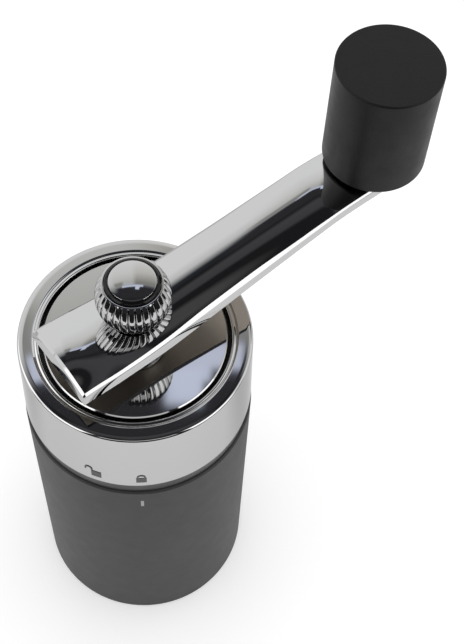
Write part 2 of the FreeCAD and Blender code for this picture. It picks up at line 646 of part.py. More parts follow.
def make_bayonet_collar():
    """The black collar in the shell's top: its ledge holds the head's lugs, its ribs stop their twist."""
    body = turned_body(
        "bayonet_collar",
        (LEDGE_BORE, BAND_TOP),
        ("body_radius - band_recess", BAND_TOP),
        ("body_radius - band_recess", "body_height"),
        (COLLAR_OUTER, "body_height"),
        (COLLAR_OUTER, f"{LEDGE} + sleeve_flange"),
        (COLLAR_INNER, f"{LEDGE} + sleeve_flange"),
        (COLLAR_INNER, LEDGE_UNDER),
        (LEDGE_BORE, LEDGE_UNDER),
    )
    gap = meridian_sketch(body, "lug_gap", UNLOCKED_LUG)
    rectangle(gap, SKIRT_OUTER, COLLAR_INNER, LEDGE_UNDER, BAND_TOP)
    gap_groove = turned(body, gap, "Groove", "lug_angle + 2 * lug_play")
    around(body, [gap_groove], "lug_count", "lug_gaps")
    stop_away = "(lug_angle / 2 + stop_play + stop_angle / 2)"
    for name, azimuth in (
        ("locked_stop", f"lug_azimuth - {stop_away}"),
        ("open_stop", f"{UNLOCKED_LUG} + {stop_away}"),
    ):
        rib = meridian_sketch(body, name, azimuth)
        low = f"({LEDGE_UNDER} - part_gap - lug_height)"
        high = f"({LEDGE_UNDER} + collar_wall / 2)"
        rectangle(rib, LEDGE_BORE, f"{COLLAR_INNER} + collar_wall / 2", low, high)
        rib_turned = turned(body, rib, "Revolution", "stop_angle")
        around(body, [rib_turned], "lug_count", name + "s")
    return body


def make_lock_ring():
    """The polished ring that the hand twists: a thin wall with a thick, beaded inward lip at the top."""
    top_outer = f"({RING_OUTER} - ring_draft)"
    body = turned_body(
        "lock_ring",
        (RING_OUTER, RING_FOOT),
        (top_outer, RING_TOP),
        (f"{LIP_BORE} + bead_width", RING_TOP, "bead_radius"),
        (LIP_BORE, f"{RING_TOP} - bead_drop"),
        (LIP_BORE, FLOOR_TOP),
        (RING_BORE, FLOOR_TOP),
        (RING_BORE, RING_FOOT),
    )
    dress(body, "Fillet", "ring_round", (top_outer, RING_TOP))
    dress(body, "Fillet", "ring_foot_round", (RING_OUTER, RING_FOOT))
    hole = level_sketch(body, "ring_hole", FLOOR_TOP)
    circle(hole, "ring_screw_radius + thread_gap", (RING_SCREW_CIRCLE, "0"))
    hole_pocket = pocket(body, hole, "ring_screw_reach + fit_gap", upward=True)
    around(body, [hole_pocket], "screw_count", "ring_holes")
    return body


def make_head_carrier():
    """The moulding inside the ring: floor, bearing hub, skirt with bayonet lugs, flange on the collar."""
    flange_outer = f"({RING_BORE} - fit_gap)"
    skirt_inner = f"({SKIRT_OUTER} - skirt_wall)"
    hub_bore = f"({BUSH_OUTER} + fit_gap)"
    lug_top = f"({LEDGE_UNDER} - part_gap)"
    lug_under = f"({lug_top} - lug_height)"
    flange_top = f"({RING_FOOT} + skirt_flange)"
    body = turned_body(
        "head_carrier",
        (hub_bore, BUSH_FOOT),
        ("hub_radius", BUSH_FOOT),
        ("hub_radius", FLOOR_UNDER),
        (skirt_inner, FLOOR_UNDER),
        (skirt_inner, lug_under),
        (SKIRT_OUTER, lug_under),
        (SKIRT_OUTER, RING_FOOT),
        (flange_outer, RING_FOOT),
        (flange_outer, flange_top),
        (SKIRT_OUTER, flange_top),
        (SKIRT_OUTER, FLOOR_UNDER),
        (flange_outer, FLOOR_UNDER),
        (flange_outer, FLOOR_TOP),
        (hub_bore, FLOOR_TOP),
    )
    lug = meridian_sketch(body, "lug", "lug_azimuth")
    rectangle(lug, f"{SKIRT_OUTER} - skirt_wall / 2", LUG_OUTER, lug_under, lug_top)
    lug_turned = turned(body, lug, "Revolution", "lug_angle")
    around(body, [lug_turned], "lug_count", "lugs")
    rib = meridian_sketch(body, "rib")
    rib_under = f"({FLOOR_UNDER} - rib_height)"
    rib_top = f"({FLOOR_UNDER} + floor_thickness / 2)"
    rib_inner = f"({hub_bore} + hub_radius) / 2"
    rib_outer = f"{skirt_inner} + skirt_wall / 2"
    rectangle(rib, rib_inner, rib_outer, rib_under, rib_top)
    rib_pad = pad(body, rib, "rib_thickness", midplane=True)
    around(body, [rib_pad], "rib_count", "ribs")
    centre = (RING_SCREW_CIRCLE, "0")
    hole = level_sketch(body, "floor_hole", FLOOR_TOP)
    circle(hole, "ring_screw_radius + fit_gap", centre)
    hole_pocket = pocket(body, hole, "floor_thickness")
    around(body, [hole_pocket], "screw_count", "floor_holes")
    access = level_sketch(body, "access_hole", flange_top)
    circle(access, "ring_screw_head + fit_gap", centre)
    access_pocket = pocket(body, access, "skirt_flange")
    around(body, [access_pocket], "screw_count", "access_holes")
    return body


def make_ring_screws():
    """Small screws through the carrier's floor into the ring's lip."""
    return screws(
        "ring_screws", RING_SCREW_CIRCLE, "ring_screw_radius", "ring_screw_head",
        FLOOR_UNDER, "ring_screw_head_height", "floor_thickness + ring_screw_reach", "screw_count",
    )


def make_bearing_bush():
    """The flanged brass bush in the carrier's hub."""
    bore = "(shaft_radius + run_gap)"
    return turned_body(
        "bearing_bush",
        (bore, BUSH_FOOT),
        (BUSH_OUTER, BUSH_FOOT),
        (BUSH_OUTER, FLOOR_TOP),
        ("bush_flange_radius", FLOOR_TOP),
        ("bush_flange_radius", BUSH_TOP),
        (bore, BUSH_TOP),
    )


def make_thrust_washer():
    """The slippery washer between the bush's flange and the shaft's shoulder."""
    inner = "(shaft_radius + fit_gap)"
    return turned_body(
        "thrust_washer",
        (inner, BUSH_TOP),
        ("shoulder_radius", BUSH_TOP),
        ("shoulder_radius", SHOULDER_UNDER),
        (inner, SHOULDER_UNDER),
    )


def make_drive_shaft():
    """The steel shaft: threaded tip, square for disc and arm, shoulder, journal, groove, claw's square."""
    body = turned_body(
        "drive_shaft",
        ("0", SHAFT_STEP),
        ("shaft_radius", SHAFT_STEP),
        ("shaft_radius", CLIP_UNDER),
        ("shaft_radius - clip_groove", CLIP_UNDER),
        ("shaft_radius - clip_groove", CLIP_TOP),
        ("shaft_radius", CLIP_TOP),
        ("shaft_radius", SHOULDER_UNDER),
        ("shoulder_radius", SHOULDER_UNDER),
        ("shoulder_radius", SHOULDER_TOP),
        ("0", SHOULDER_TOP),
    )
    lower = level_sketch(body, "lower_square", SHAFT_STEP)
    square(lower, "lower_square")
    pad(body, lower, f"{SHAFT_STEP} - {SHAFT_END}", reverse=True)
    upper = level_sketch(body, "upper_square", SHOULDER_TOP)
    square(upper, "upper_square")
    pad(body, upper, f"{KNOB_SEAT} - fit_gap - {SHOULDER_TOP}")
    thread = level_sketch(body, "thread", f"{KNOB_SEAT} - fit_gap")
    circle(thread, "thread_radius")
    pad(body, thread, "thread_length")
    tap = level_sketch(body, "stop_tap", SHAFT_END)
    circle(tap, "stop_screw_radius + thread_gap")
    pocket(body, tap, "stop_screw_reach + fit_gap", upward=True)
    turn_with_crank(body)
    return body


def make_shaft_clip():
    """The open spring clip in the shaft's groove, under the bush."""
    body = open_clip(
        "shaft_clip", "shaft_radius", "clip_groove", "clip_radius", CLIP_UNDER, "clip_thickness"
    )
    turn_with_crank(body)
    return body


def make_spring_cup():
    """The flanged cup that carries the claw spring's upper end."""
    inner = "(shaft_radius + fit_gap)"
    collar = "(shaft_radius + fit_gap + cup_collar_wall)"
    return turned_body(
        "spring_cup",
        (inner, SHAFT_STEP),
        (collar, SHAFT_STEP),
        (collar, CUP_UNDER),
        ("cup_radius", CUP_UNDER),
        ("cup_radius", CLIP_UNDER),
        (inner, CLIP_UNDER),
    )


def make_crank_disc():
    """The polished cover that turns with the crank: a dished plate with a turned-down rim."""
    rim_inner = f"({DISC_OUTER} - disc_rim_wall)"
    body = turned_body(
        "crank_disc",
        ("0", SHOULDER_TOP),
        (rim_inner, SHOULDER_TOP),
        (rim_inner, f"{SHOULDER_TOP} - disc_rim"),
        (DISC_OUTER, f"{SHOULDER_TOP} - disc_rim"),
        (DISC_OUTER, DISC_TOP),
        ("0", DISC_TOP),
    )
    dress(body, "Chamfer", "disc_bevel", (DISC_OUTER, DISC_TOP))
    hole = level_sketch(body, "disc_square", DISC_TOP)
    square(hole, "upper_square + 2 * square_gap")
    pocket(body, hole, "disc_thickness")
    turn_with_crank(body)
    return body


def make_hub_boss():
    """The polished spacer that lifts the arm off the disc."""
    inner = "(upper_square / sqrt(2) + fit_gap)"
    foot_top = f"({DISC_TOP} + boss_foot_height)"
    head_under = f"({BOSS_TOP} - boss_foot_height)"
    body = turned_body(
        "hub_boss",
        (inner, DISC_TOP),
        ("boss_foot_radius", DISC_TOP),
        ("boss_foot_radius", foot_top),
        ("boss_radius", foot_top),
        ("boss_radius", head_under),
        ("boss_foot_radius", head_under),
        ("boss_foot_radius", BOSS_TOP),
        (inner, BOSS_TOP),
    )
    dress(body, "Fillet", "boss_fillet", ("boss_radius", foot_top), ("boss_radius", head_under))
    return body


def arm_side_line(body, name, end_level):
    """A line along the arm, seen from the side: level, bent up, straight, bent back, level at the handle."""
    path = plane_sketch(body, name, "XZ_Plane")
    start = (ARM_BUTT, BOSS_TOP)
    bend_in = ("-arm_bend_start", BOSS_TOP)
    bend_out = ("crank_radius - arm_pad", end_level)
    finish = (ARM_REACH, end_level)
    tail, foot, head, tip = [
        V(number_of(across), number_of(along), 0) for across, along in (start, bend_in, bend_out, finish)
    ]
    radius = number_of("arm_bend_radius")
    lift = V(0, radius, 0)
    slope = math.atan2(head.y - foot.y, head.x - foot.x)
    lean = V(math.sin(slope), -math.cos(slope), 0) * radius
    quarter = math.pi / 2
    bend_up = Part.Circle(foot + lift, UP, radius)
    bend_back = Part.Circle(head - lift, UP, radius)
    path.addGeometry(Part.LineSegment(tail, foot), False)
    path.addGeometry(Part.ArcOfCircle(bend_up, -quarter, slope - quarter), False)
    path.addGeometry(Part.LineSegment(foot + lift + lean, head - lift - lean), False)
    path.addGeometry(Part.ArcOfCircle(bend_back, quarter, slope + quarter), False)
    path.addGeometry(Part.LineSegment(head, tip), False)
    place_point(path, 0, 1, start)
    place_point(path, 0, 2, bend_in)
    place_point(path, 4, 1, bend_out)
    place_point(path, 4, 2, finish)
    for first, second in (((0, 2), (1, 1)), ((1, 2), (2, 1)), ((2, 2), (3, 2)), ((3, 1), (4, 1))):
        path.addConstraint(Sketcher.Constraint("Tangent", *first, *second))
    hold(path, "Radius", (1,), None, "arm_bend_radius")
    hold(path, "Radius", (3,), None, "arm_bend_radius")
    return path


def arm_underside(body):
    """What is cut away under the bar, seen from the side, so that the arm gets thinner towards the handle."""
    below = arm_side_line(body, "arm_underside", TIP_UNDER)
    low = f"({BOSS_TOP} - arm_thickness)"
    corners = ((ARM_REACH, TIP_UNDER), (ARM_REACH, low), (ARM_BUTT, low), (ARM_BUTT, BOSS_TOP))
    spots = [V(number_of(across), number_of(along), 0) for across, along in corners]
    first = below.GeometryCount
    for start, end in zip(spots, spots[1:]):
        below.addGeometry(Part.LineSegment(start, end), False)
    below.addConstraint(Sketcher.Constraint("Coincident", first - 1, 2, first, 1))
    below.addConstraint(Sketcher.Constraint("Coincident", first, 2, first + 1, 1))
    below.addConstraint(Sketcher.Constraint("Coincident", first + 1, 2, first + 2, 1))
    below.addConstraint(Sketcher.Constraint("Coincident", first + 2, 2, 0, 1))
    place_point(below, first, 2, corners[1])
    place_point(below, first + 1, 2, corners[2])
    return below


def arm_section(body):
    """The bar that the arm is cut from, seen from its end: upright sides, crowned top, stock to spare below."""
    section = across_sketch(body, "arm_section", ARM_BUTT)
    half = "(arm_tail_half + arm_bevel)"
    bar_under = f"({BOSS_TOP} - arm_bevel)"
    side_top = f"({HUB_CROWN} - arm_crown_radius + sqrt(arm_crown_radius^2 - {half}^2))"
    polygon(
        section,
        (f"-{half}", bar_under),
        (half, bar_under),
        (half, side_top, "arm_crown_radius"),
        (f"-{half}", side_top),
    )
    return section


def arm_outline(body):
    """What is cut away from the bar, seen from above: all that lies outside the arm's waisted plan."""
    plan = level_sketch(body, "arm_plan", f"{PAD_UNDER} + arm_thickness + part_gap")
    far = "2 * arm_tail_half"
    rectangle(plan, f"-arm_tail - {far}", f"crank_radius + {far}", f"-{far}", far)
    tail, tail_half = -number_of("arm_tail"), number_of("arm_tail_half")
    reach, end = number_of("crank_radius"), number_of("arm_end_radius")
    waist = number_of("arm_waist_radius")
    right_side, cap, left_side, butt = range(plan.GeometryCount, plan.GeometryCount + 4)
    plan.addGeometry(left_turning_arc(V(reach, -end, 0), V(tail, -tail_half, 0), waist), False)
    round_end = Part.Circle(V(reach, 0, 0), UP, end)
    plan.addGeometry(Part.ArcOfCircle(round_end, -math.pi / 2, math.pi / 2), False)
    plan.addGeometry(left_turning_arc(V(tail, tail_half, 0), V(reach, end, 0), waist), False)
    plan.addGeometry(Part.LineSegment(V(tail, tail_half, 0), V(tail, -tail_half, 0)), False)
    plan.addConstraint(Sketcher.Constraint("Tangent", right_side, 1, cap, 1))
    plan.addConstraint(Sketcher.Constraint("Tangent", cap, 2, left_side, 2))
    plan.addConstraint(Sketcher.Constraint("Coincident", left_side, 1, butt, 1))
    plan.addConstraint(Sketcher.Constraint("Coincident", butt, 2, right_side, 2))
    place_point(plan, butt, 1, ("-arm_tail", "arm_tail_half"))
    place_point(plan, butt, 2, ("-arm_tail", "-arm_tail_half"))
    place_point(plan, cap, 3, ("crank_radius", "0"))
    hold(plan, "Radius", (cap,), None, "arm_end_radius")
    hold(plan, "Radius", (left_side,), None, "arm_waist_radius")
    hold(plan, "Radius", (right_side,), None, "arm_waist_radius")
    return plan


def make_crank_arm():
    """The polished arm: a crowned bar, bent twice, square at the tail and round under the handle."""
    body = new_body("crank_arm")
    bar = body.newObject("PartDesign::AdditivePipe", "arm_bar")
    bar.Profile = arm_section(body)
    bar.Spine = arm_side_line(body, "arm_path", PAD_UNDER)
    pocket(body, arm_underside(body), "4 * arm_tail_half", midplane=True)
    plan_pocket = pocket(body, arm_outline(body), "arm_rise + arm_thickness + 2 * part_gap")
    edges = []
    for index, edge in enumerate(body.Shape.Edges, start=1):
        middle = edge.valueAt((edge.FirstParameter + edge.LastParameter) / 2)
        faces = body.Shape.ancestorsOfType(edge, Part.Face)
        crowned = [face for face in faces if face.normalAt(*face.Surface.parameter(middle)).z > 0.8]
        upright = [face for face in faces if abs(face.normalAt(*face.Surface.parameter(middle)).z) < 0.2]
        if len(crowned) == 1 and len(upright) == 1:
            edges.append(f"Edge{index}")
    bevel = body.newObject("PartDesign::Chamfer", "arm_bevels")
    bevel.Base = (plan_pocket, edges)
    bevel.setExpression("Size", bind("arm_bevel"))
    doc.recompute()
    for name, height, radius, spot in (
        ("knob_spot", KNOB_SEAT, "knob_foot_radius + part_gap", ("0", "0")),
        ("pin_spot", PAD_SEAT, "handle_washer_radius + part_gap", ("crank_radius", "0")),
    ):
        spot_face = level_sketch(body, name, height)
        circle(spot_face, radius, spot)
        pocket(body, spot_face, "arm_crown_radius", upward=True)
    hole = level_sketch(body, "arm_square", HUB_CROWN)
    square(hole, "upper_square + 2 * square_gap")
    pocket(body, hole, "arm_thickness")
    pin_hole = level_sketch(body, "pin_hole", f"{PAD_UNDER} + arm_thickness")
    circle(pin_hole, "pin_radius + fit_gap", ("crank_radius", "0"))
    pocket(body, pin_hole, "arm_thickness")
    turn_with_crank(body)
    return body


def make_knob_nut():
    """The polished ball nut: a blind nut with ridges like a pumpkin's, and a recess for ring and cap."""
    thread_bore = "(thread_radius + thread_gap)"
    foot_top = f"({KNOB_SEAT} + knob_foot_height)"
    ball_foot = "sqrt(knob_radius^2 - (knob_centre - knob_foot_height)^2)"
    recess = "(knob_ring_radius + fit_gap)"
    bore_top = f"({KNOB_SEAT} + thread_length + part_gap)"
    body = turned_body(
        "knob_nut",
        (thread_bore, KNOB_SEAT),
        ("knob_foot_radius", KNOB_SEAT),
        ("knob_foot_radius", foot_top),
        (ball_foot, foot_top, "knob_radius"),
        ("knob_lip_radius", KNOB_TOP),
        (recess, KNOB_TOP),
        (recess, KNOB_RECESS),
        ("0", KNOB_RECESS),
        ("0", bore_top),
        (thread_bore, bore_top),
    )
    valley = level_sketch(body, "valley", KNOB_CENTRE)
    half_width = "(flute_share * pi * knob_lip_radius / knob_ridges)"
    polygon(
        valley,
        ("knob_radius - flute_depth", "0"),
        ("knob_radius + fit_gap", f"-{half_width}"),
        ("knob_radius + fit_gap", half_width),
    )
    valley_turned = turned(body, valley, "Groove", "flute_sweep")
    around(body, [valley_turned], "knob_ridges", "valleys")
    turn_with_crank(body)
    return body


def make_knob_ring():
    """The black plastic ring round the knob's cap, rounded down from the cap's edge to the nut's lip."""
    inner = "(knob_ring_radius - knob_ring_width)"
    ring_top = f"({KNOB_RECESS} + knob_ring_height)"
    return turned_body(
        "knob_ring",
        (inner, KNOB_RECESS),
        ("knob_ring_radius", KNOB_RECESS),
        ("knob_ring_radius", KNOB_TOP, "knob_ring_round"),
        (inner, ring_top),
    )


def make_knob_cap():
    """The slightly domed, polished cap pressed into the knob's top; its face is bare."""
    cap_radius = "(knob_ring_radius - knob_ring_width - fit_gap)"
    edge_top = f"({KNOB_RECESS} + knob_ring_height)"
    dome_radius = f"(({cap_radius}^2 + knob_cap_dome^2) / (2 * knob_cap_dome))"
    return turned_body(
        "knob_cap",
        ("0", KNOB_RECESS),
        (cap_radius, KNOB_RECESS),
        (cap_radius, edge_top, dome_radius),
        ("0", f"{edge_top} + knob_cap_dome"),
    )


def make_handle_pin():
    """The steel pin riveted into the arm, on which the handle turns, with a groove for its clip."""
    clip_top = f"({PIN_CLIP_UNDER} + pin_clip_thickness)"
    groove_floor = "(pin_radius - pin_clip_groove)"
    body = turned_body(
        "handle_pin",
        ("0", f"{TIP_UNDER} - pin_head_height"),
        ("pin_head_radius", f"{TIP_UNDER} - pin_head_height"),
        ("pin_head_radius", TIP_UNDER),
        ("pin_radius", TIP_UNDER),
        ("pin_radius", PIN_CLIP_UNDER),
        (groove_floor, PIN_CLIP_UNDER),
        (groove_floor, clip_top),
        ("pin_radius", clip_top),
        ("pin_radius", PIN_TOP),
        ("0", PIN_TOP),
    )
    turn_with_crank(body, "crank_radius")
    return body


def make_handle_washer():
    """The washer on the arm under the handle."""
    washer_top = f"({PAD_SEAT} + handle_washer_thickness)"
    inner = "(pin_radius + fit_gap)"
    body = turned_body(
        "handle_washer",
        (inner, PAD_SEAT),
        ("handle_washer_radius", PAD_SEAT),
        ("handle_washer_radius", washer_top),
        (inner, washer_top),
    )
    turn_with_crank(body, "crank_radius")
    return body


def make_pin_clip():
    """The open spring clip on the handle's pin, inside the grip."""
    body = open_clip(
        "pin_clip", "pin_radius", "pin_clip_groove", "pin_clip_radius", PIN_CLIP_UNDER, "pin_clip_thickness"
    )
    turn_with_crank(body, "crank_radius")
    return body


def make_handle_bush():
    """The flanged bush pressed into the grip."""
    flange_top = f"({GRIP_FOOT} + handle_bush_flange_thickness)"
    bore = "(pin_radius + run_gap)"
    body = turned_body(
        "handle_bush",
        (bore, GRIP_FOOT),
        ("handle_bush_flange", GRIP_FOOT),
        ("handle_bush_flange", flange_top),
        ("handle_bush_radius", flange_top),
        ("handle_bush_radius", GRIP_BUSH_TOP),
        (bore, GRIP_BUSH_TOP),
    )
    turn_with_crank(body, "crank_radius")
    return body


def make_handle_grip():
    """The black cylindrical grip: closed at the top, bored from below for the bush and the pin's clip."""
    flange_top = f"({GRIP_FOOT} + handle_bush_flange_thickness)"
    sink = "(handle_bush_flange + fit_gap)"
    bore = "(handle_bush_radius + fit_gap)"
    bore_top = f"({PIN_TOP} + part_gap)"
    body = turned_body(
        "handle_grip",
        (sink, GRIP_FOOT),
        ("handle_radius", GRIP_FOOT),
        ("handle_radius", GRIP_TOP),
        ("0", GRIP_TOP),
        ("0", bore_top),
        (bore, bore_top),
        (bore, flange_top),
        (sink, flange_top),
    )
    dress(body, "Fillet", "handle_edge", ("handle_radius", GRIP_TOP))
    dress(body, "Fillet", "handle_foot", ("handle_radius", GRIP_FOOT))
    turn_with_crank(body, "crank_radius")
    return body


def rivet_spot():
    """The first rivet's place, as two expressions."""
    return (
        f"{RIVET_CIRCLE} * cos(rivet_azimuth * 1deg)",
        f"{RIVET_CIRCLE} * sin(rivet_azimuth * 1deg)",
    )


def make_claw_hub():
    """The plunger on the shaft's square: a flange that carries the spider, a stem with a square guide."""
    body = turned_body(
        "claw_hub",
        ("stem_bore", CLAW_UNDER),
        (f"{SPIDER_OUTER} - claw_flange_setback", CLAW_UNDER),
        (f"{SPIDER_OUTER} - claw_flange_setback", CLAW_TOP),
        ("stem_radius", CLAW_TOP),
        ("stem_radius", STEM_TOP),
        ("0", STEM_TOP),
        ("0", GUIDE_UNDER),
        ("stem_bore", GUIDE_UNDER),
    )
    guide = level_sketch(body, "guide", STEM_TOP)
    square(guide, "lower_square + 2 * square_gap")
    pocket(body, guide, "guide_length")
    hole = level_sketch(body, "hub_rivet_hole", CLAW_TOP)
    circle(hole, "rivet_radius + fit_gap", rivet_spot())
    hole_pocket = pocket(body, hole, "claw_flange_thickness")
    around(body, [hole_pocket], "rivet_count", "hub_rivet_holes")
    turn_with_crank(body)
    return body


def make_claw_prongs():
    """The steel spider under the hub: a plate with prongs bent down out of it, each beside its window."""
    body = new_body("claw_prongs")
    plate = level_sketch(body, "spider_plate", SPIDER_UNDER)
    circle(plate, SPIDER_OUTER)
    pad(body, plate, "prong_sheet")
    root = f"({PRONG_CIRCLE} - prong_sheet / 2)"
    half = "(prong_width / 2)"
    point = f"({SPIDER_UNDER} - prong_length)"
    prong = across_sketch(body, "prong", root)
    polygon(prong, ("0", point), (half, SPIDER_UNDER), (f"-{half}", SPIDER_UNDER))
    prong_pad = pad(body, prong, "prong_sheet")
    window = level_sketch(body, "prong_window", CLAW_UNDER)
    polygon(window, (root, f"-{half}"), (root, half), (f"{root} - prong_length", "0"))
    window_pocket = pocket(body, window, "prong_sheet")
    around(body, [prong_pad, window_pocket], "prong_count", "prongs")
    hole = level_sketch(body, "spider_rivet_hole", CLAW_UNDER)
    circle(hole, "rivet_radius + fit_gap", rivet_spot())
    hole_pocket = pocket(body, hole, "prong_sheet")
    around(body, [hole_pocket], "rivet_count", "spider_rivet_holes")
    turn_with_crank(body)
    return body


def make_claw_rivets():
    """The rivets that hold the spider to the hub."""
    body = new_body("claw_rivets")
    features = []
    for name, low, high, radius in (
        ("rivet_shank", SPIDER_UNDER, CLAW_TOP, "rivet_radius"),
        ("rivet_foot", f"{SPIDER_UNDER} - rivet_head_height", SPIDER_UNDER, "rivet_head"),
        ("rivet_head", CLAW_TOP, f"{CLAW_TOP} + rivet_head_height", "rivet_head"),
    ):
        sketch = level_sketch(body, name + "_round", low)
        circle(sketch, radius, rivet_spot())
        features.append(pad(body, sketch, f"{high} - ({low})"))
    around(body, features, "rivet_count", "rivets_around")
    turn_with_crank(body)
    return body


def make_stop_washer():
    """The washer under the shaft's end, on which the claw's guide comes to rest."""
    inner = "(stop_screw_radius + fit_gap)"
    washer_under = f"({SHAFT_END} - stop_thickness)"
    return turned_body(
        "stop_washer",
        (inner, washer_under),
        ("stop_radius", washer_under),
        ("stop_radius", SHAFT_END),
        (inner, SHAFT_END),
    )


def make_stop_screw():
    """The screw that holds the stop washer to the shaft's end."""
    return screws(
        "stop_screw", "0", "stop_screw_radius", "stop_screw_head", f"({SHAFT_END} - stop_thickness)",
        "stop_screw_head_height", "stop_thickness + stop_screw_reach", "1",
    )


def spring_place(turn):
    """Centre and direction of the spring's wire after so many turns: close at both ends, even between."""
    turns, end_turns = number_of("spring_turns"), number_of("spring_end_turns")
    end_pitch = number_of("spring_end_pitch")
    low = number_of(f"{CLAW_TOP} + fit_gap + spring_wire / 2")
    high = number_of(f"{CUP_UNDER} - fit_gap - spring_wire / 2")
    softness = end_turns / 3

    def opened(at):
        here, there = at - end_turns, at - turns + end_turns
        return (math.hypot(here, softness) - math.hypot(there, softness)) / 2 + turns / 2

    def opening(at):
        here, there = at - end_turns, at - turns + end_turns
        return (here / math.hypot(here, softness) - there / math.hypot(there, softness)) / 2

    gain = (high - low - end_pitch * turns) / (opened(turns) - opened(0))
    radius, angle = number_of("spring_radius"), 2 * math.pi * turn
    height = low + end_pitch * turn + gain * (opened(turn) - opened(0))
    rise = (end_pitch + gain * opening(turn)) / (2 * math.pi)
    centre = V(radius * math.cos(angle), radius * math.sin(angle), height)
    return centre, V(-radius * math.sin(angle), radius * math.cos(angle), rise).normalize()


def arc_between(start, corner, end):
    """The arc that leaves start towards the corner and reaches end from it."""
    middle = (start + end) * 0.5
    half_chord, height = (end - start).Length / 2, (corner - middle).Length
    sagitta = half_chord * math.tan(math.atan2(height, half_chord) / 2)
    return Part.Arc(start, middle + (corner - middle) * (sagitta / height), end).toShape()


def make_claw_spring():
    """The steel spring between cup and claw, which presses the nutmeg on the grater."""
    turns = int(number_of("spring_turns"))
    places = [spring_place(quarter / 4) for quarter in range(4 * turns + 1)]
    edges = []
    for (start, leaving), (end, arriving) in zip(places, places[1:]):
        chord, both = end - start, leaving + arriving
        bend = 2 * (1 - leaving.dot(arriving))
        reach = (math.sqrt(chord.dot(both) ** 2 + bend * chord.dot(chord)) - chord.dot(both)) / bend
        first_corner, second_corner = start + leaving * reach, end - arriving * reach
        joint = (first_corner + second_corner) * 0.5
        edges.append(arc_between(start, first_corner, joint))
        edges.append(arc_between(joint, second_corner, end))
    wire = number_of("spring_wire")
    profile = Part.Wire(Part.Circle(places[0][0], places[0][1], wire / 2).toShape())
    shell = Part.BRepOffsetAPI.MakePipeShell(Part.Wire(edges))
    shell.add(profile)
    shell.build()
    shell.makeSolid()
    spring = doc.addObject("Part::Feature", "claw_spring")
    spring.Label = "claw_spring"
    spring.Shape = shell.shape()
    steps = 24
    centres = [spring_place(step / steps)[0] for step in range(steps * turns + 1)]
    gap = min(
        (one - other).Length
        for index, one in enumerate(centres)
        for other in centres[index + steps // 2:]
    ) - wire
    print(f"claw_spring: least gap between turns {gap:.2f} mm")
    return spring


parts = [
    make_body_shell(),
    make_grater_carrier(),
    make_chamber_sleeve(),
    make_carrier_screws(),
    make_grater_disc(),
    make_bayonet_collar(),
    make_lock_ring(),
    make_head_carrier(),
    make_ring_screws(),
    make_bearing_bush(),
    make_thrust_washer(),
    make_drive_shaft(),
    make_shaft_clip(),
    make_spring_cup(),
    make_crank_disc(),
    make_hub_boss(),
    make_crank_arm(),
    make_knob_nut(),
    make_knob_ring(),
    make_knob_cap(),
    make_handle_pin(),
    make_handle_washer(),
    make_pin_clip(),
    make_handle_bush(),
    make_handle_grip(),
    make_claw_hub(),
    make_claw_prongs(),
    make_claw_rivets(),
    make_stop_washer(),
    make_stop_screw(),
    make_claw_spring(),
]
doc.recompute()
for feature in doc.Objects:
    if "Invalid" in feature.State or "Error" in feature.State:
        raise ValueError(f"{feature.Name} did not recompute")
os.makedirs("parts", exist_ok=True)
for part in parts:
    if part.Shape.isNull() or not part.Shape.isValid():
        raise ValueError(f"{part.Label} has no valid shape")
    part.Shape.exportStep(os.path.join("parts", part.Label + ".step"))
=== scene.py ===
"""Looks of a hand-cranked nutmeg grinder: soft-touch body, polished head, crank arm, ball nut and handle.

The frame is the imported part's: +Z up along the shaft, the index mark at the front, towards -Y.
Sizes are written in millimetres, as on a drawing, and scaled where a mesh is made.
"""

import math

import bmesh
import bpy
from mathutils import Matrix, Vector


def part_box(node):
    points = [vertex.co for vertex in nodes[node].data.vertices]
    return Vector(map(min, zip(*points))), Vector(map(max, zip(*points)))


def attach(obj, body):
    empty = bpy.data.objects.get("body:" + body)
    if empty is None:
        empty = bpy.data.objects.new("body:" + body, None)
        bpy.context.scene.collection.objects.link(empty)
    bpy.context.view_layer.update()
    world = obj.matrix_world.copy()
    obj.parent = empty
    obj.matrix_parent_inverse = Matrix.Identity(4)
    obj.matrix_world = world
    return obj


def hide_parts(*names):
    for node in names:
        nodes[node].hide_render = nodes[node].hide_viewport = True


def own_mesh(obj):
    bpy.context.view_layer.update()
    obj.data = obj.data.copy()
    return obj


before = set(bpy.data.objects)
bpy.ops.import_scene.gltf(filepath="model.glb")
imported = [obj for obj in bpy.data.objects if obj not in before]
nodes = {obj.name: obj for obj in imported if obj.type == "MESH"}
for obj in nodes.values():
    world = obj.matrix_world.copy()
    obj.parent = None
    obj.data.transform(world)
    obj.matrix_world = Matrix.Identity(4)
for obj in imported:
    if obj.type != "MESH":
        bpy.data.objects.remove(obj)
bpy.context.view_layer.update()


# The shell that the left hand holds
# A moulded tube with a soft-touch coat: dark charcoal and matt, with a very fine grain.
# It stands on the table on its lower edge, and the inner pieces hang in it from above.


def make_material(name, base, roughness, metallic=0.0):
    """A material whose shader has its plain colour, and the tree that more is wired into."""
    material = bpy.data.materials.new(name)
    material.use_nodes = True
    shader = material.node_tree.nodes["Principled BSDF"]
    shader.inputs["Base Color"].default_value = (*base, 1)
    shader.inputs["Roughness"].default_value = roughness
    shader.inputs["Metallic"].default_value = metallic
    material.diffuse_color = (*base, 1)
    return material


def noise_over(material, cells_per_metre, detail, stretch=(1, 1, 1)):
    """Fine noise over a piece, fixed to the piece itself; stretch squeezes it along an axis."""
    tree = material.node_tree
    place = tree.nodes.new("ShaderNodeTexCoord")
    scaled = tree.nodes.new("ShaderNodeMapping")
    scaled.inputs["Scale"].default_value = stretch
    noise = tree.nodes.new("ShaderNodeTexNoise")
    noise.inputs["Scale"].default_value = cells_per_metre
    noise.inputs["Detail"].default_value = detail
    tree.links.new(place.outputs["Object"], scaled.inputs["Vector"])
    tree.links.new(scaled.outputs["Vector"], noise.inputs["Vector"])
    return noise.outputs["Fac"]


